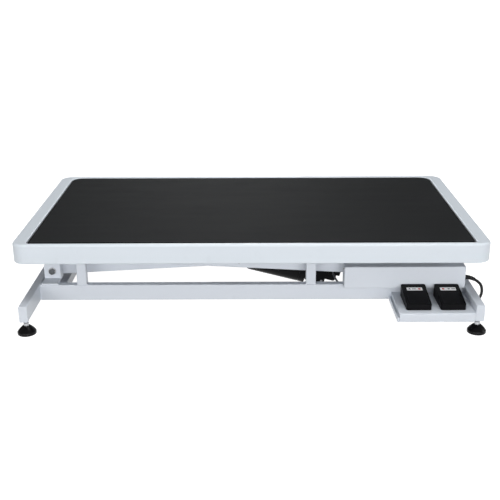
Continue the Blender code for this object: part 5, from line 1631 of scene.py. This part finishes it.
def make_motor():
    """The motor can: a crimped collar, a rounded nose and a shallow dimple in its end."""
    start = GEARBOX_START + GEARBOX_LENGTH + TOUCH
    end = start + MOTOR_LENGTH
    crimp = MOTOR_RADIUS - CRIMP_DEPTH
    near = -start - CRIMP_START
    far = near - CRIMP_WIDTH
    nose = MOTOR_NOSE - end
    profile = [
        (0.0, -start),
        (MOTOR_RADIUS, -start),
        (MOTOR_RADIUS, near),
        (crimp, near - CRIMP_SLOPE),
        (crimp, far + CRIMP_SLOPE),
        (MOTOR_RADIUS, far),
        (MOTOR_RADIUS, nose),
    ]
    for i in range(1, MOTOR_NOSE_STEPS):
        turn = math.pi / 2 * i / MOTOR_NOSE_STEPS
        across = MOTOR_RADIUS - MOTOR_SHOULDER * (1 - math.cos(turn))
        profile.append((across, nose - MOTOR_NOSE * math.sin(turn)))
    dimple = MOTOR_DIMPLE_DEPTH - end
    profile += [(MOTOR_RADIUS - MOTOR_SHOULDER, -end), (MOTOR_DIMPLE, -end)]
    profile += [(MOTOR_DIMPLE - MOTOR_DIMPLE_DEPTH / 2, dimple), (0.0, dimple)]
    motor = placed(lathe("actuator_motor_dressed", profile, "X"), (0, MOTOR_Y, -MOTOR_DROP))
    finish_piece(along_actuator(motor), "actuator", "black_enamel", "actuator_motor")


def make_rod():
    """The push rod and the round eye on its end."""
    place, _ = actuator_place()
    low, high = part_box("actuator_rod")
    far = Vector((low.x + EYE_RADIUS, 0, high.z - EYE_RADIUS))
    length = (far - Vector((place.x, 0, place.z))).length
    end = ROD_IN_EYE - length
    profile = [(0.0, -ROD_START), (ROD_RADIUS, -ROD_START), (ROD_RADIUS, end), (0.0, end)]
    rod = lathe("actuator_rod_dressed", profile, "X")
    eye = cylinder("eye", (-length, 0, 0), EYE_RADIUS, EYE_WIDTH, "Y")
    round_edges(eye, (sharp, EYE_ROUND, 3))
    unite(rod, eye)
    finish_piece(along_actuator(rod), "rod", "zinc", "actuator_rod")


def make_clevis_pin():
    """The pin that the actuator tilts on, with a retaining ring at each end."""
    low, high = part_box("clevis_pin")
    reach = high.y
    wide = (high.x - low.x) / 2
    tip = wide - CLEVIS_TIP_STEP
    half = [
        (0.0, reach),
        (tip - CLEVIS_TIP_EASE, reach),
        (tip, reach - CLEVIS_TIP_EASE),
        (tip, reach - CLEVIS_TIP_END),
        (wide, reach - CLEVIS_RING[0]),
        (wide, reach - CLEVIS_RING[1]),
        (wide - CLEVIS_SHANK_STEP, reach - CLEVIS_SHANK_END),
    ]
    shaft_piece("clevis_pin", mirrored(half))


def make_lead():
    """The actuator's lead, from the gearbox to the back of the front rail."""
    place, _ = actuator_place()
    exit_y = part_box("actuator_lead")[1].y
    start = Vector((place.x - GEARBOX_START - LEAD_X, exit_y, place.z + LEAD_Z))
    route = [start + Vector(step) for step in LEAD_ROUTE]
    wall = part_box("front_rail")[1].y + TOUCH
    x, _, z = route[-1] + Vector(LEAD_LAST_STEP)
    route += [(x, wall + LEAD_ENTRY, z), (x, wall, z)]
    lead = cable("actuator_lead_dressed", smooth_route(route, LEAD_SPACING), LEAD_DIAMETER, LEAD_SIDES)
    finish_piece(meshed(lead), "base", "grey_lead", "actuator_lead")


class GROOM_OT_actuator(bpy.types.Operator):
    """Make the electric actuator, its pin and its lead"""

    bl_idname = "groom.actuator"
    bl_label = "Actuator"

    def execute(self, context):
        make_gearbox()
        make_actuator_tube()
        make_motor()
        make_rod()
        make_clevis_pin()
        make_lead()
        return {"FINISHED"}


# The control box and the pedals


def make_tray_fold():
    """The hem of the tray's left side, whose sheet is folded back up beside the wall."""
    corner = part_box("pedal_tray")[0]
    low = (corner.x - FOLD_WIDTH, corner.y + FOLD_INSET, corner.z)
    high = (corner.x - TOUCH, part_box("front_rail")[0].y - FOLD_INSET, corner.z + FOLD_HEIGHT)
    fold = cube("tray_fold", low, high)
    sink = (0, 0, FOLD_SHEET - FOLD_HEIGHT)
    with editing(fold):
        pick(fold, lambda face: face.normal.z > UPWARD_SHARE, "FACE")
        bpy.ops.mesh.inset(thickness=FOLD_SHEET)
        bpy.ops.mesh.extrude_region_move(TRANSFORM_OT_translate={"value": sink})
    round_edges(fold, (sharp, FOLD_ROUND, 2))
    finish_piece(fold, "base", "coat")


def make_box_screws():
    """One screw in each end of the control box's cover."""
    low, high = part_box("box_cover")
    screws = [
        pan_screw((x, low.y + BOX_SCREW_BACK, high.z - BOX_SCREW_DROP), BOX_SCREW_RADIUS, (side, 0, 0))
        for x, side in ((high.x, 1), (low.x, -1))
    ]
    finish_piece(gathered("box_screws", screws), "base", "zinc")


class GROOM_OT_control(bpy.types.Operator):
    """Finish the control box, the circuit inside it and the pedal tray"""

    bl_idname = "groom.control"
    bl_label = "Control box and tray"

    def execute(self, context):
        refined("box_cover")
        refined("box_back")
        refined("control_board", "circuit")
        refined("pedal_tray")
        make_tray_fold()
        make_box_screws()
        return {"FINISHED"}


class PedalShape:
    """The sizes of one pedal, read from its housing's box."""

    def __init__(self, name):
        self.name = name
        self.low, self.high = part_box(name + "_housing")
        self.x = (self.low.x + self.high.x) / 2
        self.wide = (self.high.x - self.low.x) / 2 - PEDAL_WALL
        self.slope = (self.high.z - self.low.z - PEDAL_FRONT_HEIGHT) / (self.high.y - self.low.y)
        self.well_front = self.low.y + PEDAL_WALL
        self.well_back = self.high.y - PEDAL_LABEL_DEPTH

    def top(self, y):
        """Height of the sloping top."""
        return self.low.z + PEDAL_FRONT_HEIGHT + self.slope * (y - self.low.y)


def make_housing(pedal):
    """A wedge-shaped housing with a well for its treadle."""
    low, high = pedal.low, pedal.high
    housing = cube(pedal.name + "_housing_dressed", low, high)

    def top_front(edge):
        return all(abs(v.co.y - low.y) < TINY and abs(v.co.z - high.z) < TINY for v in edge.verts)

    def above_foot(edge):
        return sharp(edge) and edge.verts[0].co.z > low.z + PEDAL_FOOT

    def lip(edge):
        middle = (edge.verts[0].co + edge.verts[1].co) / 2
        inside = abs(middle.x - pedal.x) < pedal.wide + LIP_MARGIN
        near = pedal.well_front - LIP_MARGIN < middle.y < pedal.well_back + LIP_MARGIN
        return sharp(edge) and inside and near and middle.z > pedal.top(middle.y) - LIP_DROP

    with editing(housing):
        pick(housing, top_front)
        bpy.ops.transform.translate(value=(0, 0, low.z + PEDAL_FRONT_HEIGHT - high.z))
    round_edges(housing, (upright, PEDAL_CORNER, 6), (above_foot, PEDAL_EDGE, 3))
    floor = pedal.top(pedal.well_front) - TREADLE_THICK - TREADLE_TRAVEL
    well = cube(
        "well",
        (low.x + PEDAL_WALL, pedal.well_front, floor),
        (high.x - PEDAL_WALL, pedal.well_back, high.z + THROUGH),
    )
    round_edges(well, (upright, WELL_CORNER, 3))
    cut(housing, well)
    round_edges(housing, (lip, WELL_LIP, 2))
    finish_piece(housing, "base", "black_plastic", pedal.name + "_housing")


def make_treadle(pedal):
    """The hinged plate let into the housing, with its trunnion."""
    front = pedal.well_front + TREADLE_GAP
    back = pedal.well_back - TREADLE_GAP
    wide = pedal.wide - TREADLE_GAP
    base = pedal.top(back) - TREADLE_THICK
    name = pedal.name.replace("_pedal", "_treadle")
    treadle = cube(
        pedal.name + "_treadle_dressed",
        (pedal.x - wide, front, base),
        (pedal.x + wide, back, pedal.top(back)),
    )

    def at_front(face):
        return all(abs(v.co.y - front) < TINY for v in face.verts)

    def top_edge(edge):
        middle = TREADLE_THICK / 2
        return sharp(edge) and all(v.co.z > pedal.top(v.co.y) - middle for v in edge.verts)

    with editing(treadle):
        pick(treadle, at_front, "FACE")
        bpy.ops.transform.translate(value=(0, 0, pedal.top(front) - pedal.top(back)))
    round_edges(treadle, (upright, TREADLE_CORNER, 3), (top_edge, TREADLE_EDGE, 3))
    place = joint_place(name + "_press")
    low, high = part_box(pedal.name + "_treadle")
    centre = (pedal.x, place.y, place.z)
    unite(treadle, cylinder("trunnion", centre, TRUNNION_RADIUS, high.x - low.x, "X", FEW_SIDES))
    finish_piece(treadle, name, "black_plastic", pedal.name + "_treadle")


def make_label(pedal, dot_x, arrow_x, arrow_turn):
    """A white strip with a red dot and an arrow, on the back of the housing."""
    y = pedal.high.y - LABEL_FROM_BACK
    wide, deep, stem = LABEL_WIDTH / 2, LABEL_DEPTH / 2, STEM_WIDTH / 2
    film = LABEL_FILM

    def laid(thing, x, lift, finish):
        """Lays a thin piece, made at the origin, on the pedal's sloping top."""
        placed(thing, (pedal.x + x, y, pedal.top(y) + lift), (math.atan(pedal.slope), 0, 0))
        finish_piece(thing, "base", finish)

    strip = cube(pedal.name + "_label", (-wide, -deep, 0), (wide, deep, film))
    round_edges(strip, (upright, LABEL_CORNER, 4))
    laid(strip, 0, LABEL_LIFT, "label_white")
    dot = cylinder(pedal.name + "_dot", (0, 0, film / 2), DOT_RADIUS, film, sides=DOT_SIDES)
    laid(dot, dot_x, film, "label_red")
    arrow = cylinder(pedal.name + "_arrow", (0, 0, film / 2), ARROW_RADIUS, film, sides=3)
    placed(arrow, turn=(0, 0, arrow_turn))
    shaft = cube("stem", (STEM_START, -stem, 0), (STEM_END, stem, film))
    laid(gathered(arrow.name, [arrow, shaft]), arrow_x, film, "label_black")


class GROOM_OT_pedals(bpy.types.Operator):
    """Make the two foot pedals and their labels"""

    bl_idname = "groom.pedals"
    bl_label = "Pedals"

    def execute(self, context):
        for name, dot_x, arrow_x, arrow_turn in PEDALS:
            pedal = PedalShape(name)
            make_housing(pedal)
            make_treadle(pedal)
            make_label(pedal, dot_x, arrow_x, arrow_turn)
        return {"FINISHED"}


# The mains cord


def cable(name, points, diameter, sides, radii=None):
    """A round cable through its points, with closed ends."""
    curve = bpy.data.curves.new(name, "CURVE")
    curve.dimensions = "3D"
    curve.bevel_depth = diameter / 2
    curve.bevel_resolution = (sides - 4) // 2
    curve.use_fill_caps = True
    spline = curve.splines.new("POLY")
    spline.points.add(len(points) - 1)
    for index, place in enumerate(points):
        spline.points[index].co = (*place, 1)
        if radii:
            spline.points[index].radius = radii[index] / (diameter / 2)
    return linked(name, curve)


def meshed(thing):
    """Turns a cable into a mesh with its end caps welded."""
    only(thing)
    bpy.ops.object.convert(target="MESH")
    thing = bpy.context.object
    with editing(thing):
        merge_points()
        bpy.ops.mesh.normals_make_consistent(inside=False)
    return thing


def gland_line(length):
    """The place and the heading on the strain relief's bent centreline."""
    start = Vector((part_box("cord_gland")[0].x + GLAND_FLANGE, GLAND_Y, GLAND_HEIGHT))
    angle = length / GLAND_BEND
    reach = Vector((math.sin(angle), 0, math.cos(angle) - 1)) * GLAND_BEND
    return start + reach, Vector((math.cos(angle), 0, -math.sin(angle)))


def make_gland():
    """The strain relief: a flange, and a ribbed taper that bends with the cord."""
    wide = GLAND_RADIUS - GLAND_STEP
    narrow = CORD_DIAMETER / 2 + SLEEVE_WALL
    points = []
    radii = []
    for i in range(GLAND_STEPS + 1):
        share = i / GLAND_STEPS
        points.append(gland_line(GLAND_LENGTH * share)[0])
        groove = max(0.0, math.cos(2 * math.pi * GLAND_RIBS * share)) ** 2
        depth = GLAND_RIB_DEPTH * groove if GLAND_RIBBED[0] < share < GLAND_RIBBED[1] else 0
        radii.append(wide + (narrow - wide) * share - depth)
    relief = meshed(cable("gland_relief", points, 2 * wide, FEW_SIDES, radii))
    profile = [
        (0.0, GLAND_FLANGE + TOUCH),
        (wide, GLAND_FLANGE + TOUCH),
        (wide + GLAND_EASE, GLAND_FLANGE),
        (GLAND_RADIUS - GLAND_EASE, GLAND_FLANGE),
        (GLAND_RADIUS, GLAND_FLANGE - GLAND_EASE),
        (GLAND_RADIUS, 0.0),
        (0.0, 0.0),
    ]
    flange = lathe("gland", profile, "X", (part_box("cord_gland")[0].x, GLAND_Y, GLAND_HEIGHT))
    finish_piece(gathered("gland", [flange, relief]), "base", "cord_rubber", "cord_gland")


def smooth_route(points, spacing):
    """Evenly spaced points on a smooth curve through the route's own points."""
    points = [Vector(p) for p in points]
    ends = [2 * points[0] - points[1]] + points + [2 * points[-1] - points[-2]]
    dense = []
    for i in range(1, len(ends) - 2):
        before, one, two, after = ends[i - 1 : i + 3]
        for step in range(CURVE_STEPS):
            t = step / CURVE_STEPS
            cubic = 2 * one + (two - before) * t
            cubic += (2 * before - 5 * one + 4 * two - after) * t**2
            cubic += (3 * one - before - 3 * two + after) * t**3
            dense.append(cubic / 2)
    dense.append(points[-1])
    run = [0.0]
    for one, two in zip(dense, dense[1:]):
        run.append(run[-1] + (two - one).length)
    count = max(2, round(run[-1] / spacing))
    even = []
    place = 0
    for i in range(count + 1):
        goal = run[-1] * i / count
        while place < len(run) - 2 and run[place + 1] < goal:
            place += 1
        share = (goal - run[place]) / (run[place + 1] - run[place])
        even.append(dense[place].lerp(dense[place + 1], share))
    return even


def coil_points():
    """Centreline of the put-away coil: in along the floor, up a layer, and out again."""
    lying = CORD_DIAMETER / 2 + TOUCH
    start_radius = COIL_RADIUS + COIL_PITCH * COIL_TURNS_IN / 2
    reverse_at = COIL_TURNS_IN + COIL_CLIMB / 2
    turns = COIL_TURNS_IN + COIL_CLIMB + COIL_TURNS_OUT
    points = []
    for i in range(round(turns * COIL_STEPS) + 1):
        turn = i / COIL_STEPS
        radius = start_radius - COIL_PITCH * (reverse_at - abs(turn - reverse_at))
        climb = min(max(turn - COIL_TURNS_IN, 0.0), COIL_CLIMB) / COIL_CLIMB
        angle = 2 * math.pi * turn
        across = Vector((math.cos(angle), math.sin(angle), 0)) * radius
        points.append(Vector((COIL_X, COIL_Y, lying + COIL_PITCH * climb)) + across)
    lead_in = points[0] - Vector((0, CORD_DIAMETER, 0))
    lead_out = points[-1] - Vector((COIL_TAIL, 0, 0))
    return [lead_in] + points + [lead_out]


def cord_route():
    """The cord's whole centreline, from the strain relief to the plug."""
    mouth, heading = gland_line(GLAND_LENGTH)
    start = mouth + heading * TOUCH
    coil = coil_points()
    end = coil[0]
    lying = CORD_DIAMETER / 2 + TOUCH
    free = [start + heading * CORD_DIAMETER]
    free += [(start.x + x, start.y + y, start.z + z) for x, y, z in CORD_DROP]
    free += [(x, y, lying) for x, y in CORD_FLOOR]
    free += [(end.x, end.y - back, lying) for back in (COIL_RUN_IN, CORD_DIAMETER)]
    return [start] + smooth_route(free, CORD_SPACING) + coil


def length_of(points):
    """The length of a line through some points."""
    return sum((two - one).length for one, two in zip(points, points[1:]))


def plug_body(place):
    """The moulded plug: a ribbed sleeve, a flattened body and its finger grooves."""
    sleeve = CORD_DIAMETER / 2 + SLEEVE_WALL
    profile = [(0.0, 0.0), (sleeve - SLEEVE_EASE, 0.0), (sleeve, -SLEEVE_EASE)]
    for i in range(RIB_COUNT):
        start = RIB_START + RIB_PITCH * i
        spread = sleeve + SLEEVE_FLARE * (start / SLEEVE_LENGTH)
        profile += [(spread + across, -start - back) for across, back in PLUG_RIB]
    profile += [
        (PLUG_RADIUS - PLUG_SHOULDER, -PLUG_NECK),
        (PLUG_RADIUS - PLUG_EASE, PLUG_NECK_EASE - PLUG_NECK_END),
        (PLUG_RADIUS, -PLUG_NECK_END),
        (PLUG_RADIUS, PLUG_SHOULDER - PLUG_LENGTH),
        (PLUG_RADIUS - PLUG_EASE, PLUG_EASE - PLUG_LENGTH),
        (PLUG_RADIUS - PLUG_SHOULDER, -PLUG_LENGTH),
        (0.0, -PLUG_LENGTH),
    ]
    plug = lathe("plug_dressed", profile, "X")
    plug.scale = (1, PLUG_FLATNESS, 1)
    settled(plug)
    for side in (-1, 1):
        y = side * (PLUG_RADIUS * PLUG_FLATNESS + FINGER_PROUD)
        for i in range(FINGER_GROOVES):
            spot = (-FINGER_START - FINGER_PITCH * i, y, 0)
            cut(plug, cylinder("groove", spot, FINGER_RADIUS, FINGER_LENGTH, sides=FINGER_SIDES))
    return placed(plug, place)


def plug_pin(place):
    """One round pin of the plug, with its tip eased and its root in the plug."""
    tip = -PIN_LENGTH - PIN_SUNK
    profile = [(0.0, tip)]
    profile += [(PIN_RADIUS + across, tip + back) for across, back in PIN_TIP]
    profile += [(PIN_RADIUS, 0.0), (0.0, 0.0)]
    return lathe("plug_pins", profile, "X", place, FEW_SIDES)


def make_plug(tip):
    """The plug on the cord's end, lying on the floor, and its two pins."""
    head = tip.x - TOUCH
    height = max(tip.z, PLUG_RADIUS + TOUCH)
    plug = plug_body((head, tip.y, height))
    finish_piece(plug, "base", "cord_rubber", "plug")
    root = head - PLUG_LENGTH + PIN_SUNK
    places = [(root, tip.y + side * PIN_SPACING / 2, height) for side in (-1, 1)]
    pins = gathered("plug_pins", [plug_pin(place) for place in places])
    finish_piece(pins, "base", "nickel")
    return plug, pins


class GROOM_OT_cord(bpy.types.Operator):
    """Make the strain relief, the mains cord and its plug"""

    bl_idname = "groom.cord"
    bl_label = "Mains cord"

    def execute(self, context):
        make_gland()
        route = cord_route()
        cord = cable("cord", route, CORD_DIAMETER, CORD_SIDES)
        cord.data.materials.append(material("cord_rubber"))
        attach(cord, "base")
        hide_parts("mains_cord", "cord_coil")
        plug, pins = make_plug(route[-1])
        tuple(route[0])
        length_of(route)
        return {"FINISHED"}


# The welds


def bead_along(points, radius):
    """A weld bead along a path, with the ripples of its passes."""
    path = smooth_route(points, radius * WELD_SPACING)
    radii = []
    run = 0.0
    for index, place in enumerate(path):
        if index:
            run += (place - path[index - 1]).length
        swell = abs(math.sin(math.pi * run / (radius * WELD_RIPPLE)))
        radii.append(radius * (WELD_LEAST + WELD_SWELL * swell))
    return meshed(cable("bead", path, 2 * radius, WELD_SIDES, radii))


def straight(one, two, trim=WELD_TRIM):
    """Three points along an edge, stopping short of both its ends."""
    one = Vector(one)
    two = Vector(two)
    step = (two - one).normalized() * trim
    one += step
    two -= step
    return [one, one.lerp(two, 0.5), two]


def ring(centre, radius):
    """Points round a tube that lies along Y."""
    angles = [2 * math.pi * i / RING_STEPS for i in range(RING_STEPS + 1)]
    return [Vector(centre) + Vector((math.cos(a), 0, math.sin(a))) * radius for a in angles]


def make_welds(name, body, paths):
    """Lays the beads along some paths, as one piece."""
    beads = [bead_along(path, look().bead) for path in paths]
    finish_piece(gathered(name, beads), body, "coat")


def base_weld_paths():
    """Where the base's tubes and plates are welded."""
    paths = []
    beam_low, beam_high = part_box("pivot_beam")
    for side, sign in SIDES:
        low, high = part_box(side + "_rail")
        outer, inner = (high.y, low.y) if sign > 0 else (low.y, high.y)
        for x in (low.x, high.x):
            paths.append(straight((x, outer, high.z), (x, inner, high.z), WELD_TRIM_ACROSS))
            for y in (outer, inner):
                paths.append(straight((x, y, high.z), (x, y, low.z)))
        for end in ENDS:
            post_low, post_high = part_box("post_%s_%s" % (side, end))
            for x in (post_low.x, post_high.x):
                paths.append(straight((x, post_low.y, high.z), (x, post_high.y, high.z)))
        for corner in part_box("base_bracket_" + side):
            x = corner.x
            paths.append(straight((x, outer, high.z), (x, inner, high.z), WELD_TRIM_ACROSS))
        z = beam_high.z
        paths.append(straight((beam_low.x, inner, z), (beam_high.x, inner, z)))
    return paths


class GROOM_OT_welds(bpy.types.Operator):
    """Lay the painted weld beads along the joints of the steelwork"""

    bl_idname = "groom.welds"
    bl_label = "Weld beads"

    def execute(self, context):
        make_welds("base_welds", "base", base_weld_paths())
        pivot, _, slope = rest_line()
        tube = pivot + Vector((math.cos(slope), 0, math.sin(slope))) * LIFT_TUBE_PLACE
        low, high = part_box("outer_arm_lower_tie")
        tie_radius = (high.z - low.z) / 2
        upper = joint_place("top_pivot")
        for kind, tubes in (
            ("inner", [(tube, LIFT_TUBE_RADIUS)]),
            ("outer", [((low + high) / 2, tie_radius), (upper, UPPER_TIE_RADIUS)]),
        ):
            face = arm_faces(kind)[0]
            paths = [
                ring((place.x, sign * face, place.z), radius)
                for _, sign in SIDES
                for place, radius in tubes
            ]
            make_welds(kind + "_arm_welds", kind + "_arms", paths)
        return {"FINISHED"}


# The studio


def add_area(name, place, target, size, power):
    """A large soft light that faces a point."""
    data = bpy.data.lights.new(name, "AREA")
    data.shape = "RECTANGLE"
    data.size, data.size_y = size
    data.energy = power
    light = linked(name, data)
    light.location = place
    light.rotation_euler = (Vector(target) - Vector(place)).to_track_quat("-Z", "Y").to_euler()
    return light


def add_camera(studio):
    """The camera at the photograph's viewing angle, a touch off level as it is there."""
    data = bpy.data.cameras.new("camera")
    data.sensor_width = SENSOR_WIDTH
    data.lens = studio.lens
    camera = linked("camera", data)
    camera.location = (CAMERA_X, -studio.distance, studio.height)
    pitch = Matrix.Rotation(math.pi / 2 - studio.pitch, 3, "X")
    camera.rotation_euler = (pitch @ Matrix.Rotation(CAMERA_ROLL, 3, "Z")).to_euler()
    return camera


class GROOM_OT_studio(bpy.types.Operator):
    """Set up the pale floor, the soft lights and the camera"""

    bl_idname = "groom.studio"
    bl_label = "Studio"

    def execute(self, context):
        scene = context.scene
        studio = scene.grooming_studio
        deselect()
        bpy.ops.mesh.primitive_plane_add(size=FLOOR_SIZE, location=FLOOR_PLACE)
        floor = settled(bpy.context.object)
        floor.name = "studio_floor"
        floor.data.materials.append(material("studio_floor"))
        floor.visible_diffuse = False
        scene.world = Sky("studio_world").lit(studio.ambient)
        for name, (place, target, size, share) in LIGHTS.items():
            light = add_area(name, place, target, size, studio.key * share)
            light.visible_glossy = name != "back"
        scene.camera = add_camera(studio)
        scene.view_settings.view_transform = "Standard"
        return {"FINISHED"}


class GROOM_PT_panel(bpy.types.Panel):
    """Lists the steps that finish the table"""

    bl_idname = "GROOM_PT_panel"
    bl_label = "Grooming Table"
    bl_space_type = "VIEW_3D"
    bl_region_type = "UI"
    bl_category = "Grooming Table"

    def draw(self, context):
        for step in STEPS:
            self.layout.operator(step.bl_idname)
        for group in (context.scene.grooming_finish, context.scene.grooming_studio):
            box = self.layout.box()
            for name in group.bl_rna.properties.keys():
                if name not in ("rna_type", "name"):
                    box.prop(group, name)


STEPS = (
    GROOM_OT_studio,
    GROOM_OT_cord,
    GROOM_OT_rim,
    GROOM_OT_deck,
    GROOM_OT_base,
    GROOM_OT_feet,
    GROOM_OT_arms,
    GROOM_OT_pivots,
    GROOM_OT_actuator,
    GROOM_OT_control,
    GROOM_OT_pedals,
    GROOM_OT_welds,
)
CLASSES = (GroomingTableFinish, GroomingTableStudio, *STEPS, GROOM_PT_panel)


def register():
    for kind in CLASSES:
        bpy.utils.register_class(kind)
    bpy.types.Scene.grooming_finish = PointerProperty(type=GroomingTableFinish)
    bpy.types.Scene.grooming_studio = PointerProperty(type=GroomingTableStudio)


def unregister():
    del bpy.types.Scene.grooming_studio
    del bpy.types.Scene.grooming_finish
    for kind in reversed(CLASSES):
        bpy.utils.unregister_class(kind)


def main():
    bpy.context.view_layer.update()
    register()
    for step in STEPS:
        group, name = step.bl_idname.split(".")
        getattr(getattr(bpy.ops, group), name)()


if __name__ == "__main__":
    main()
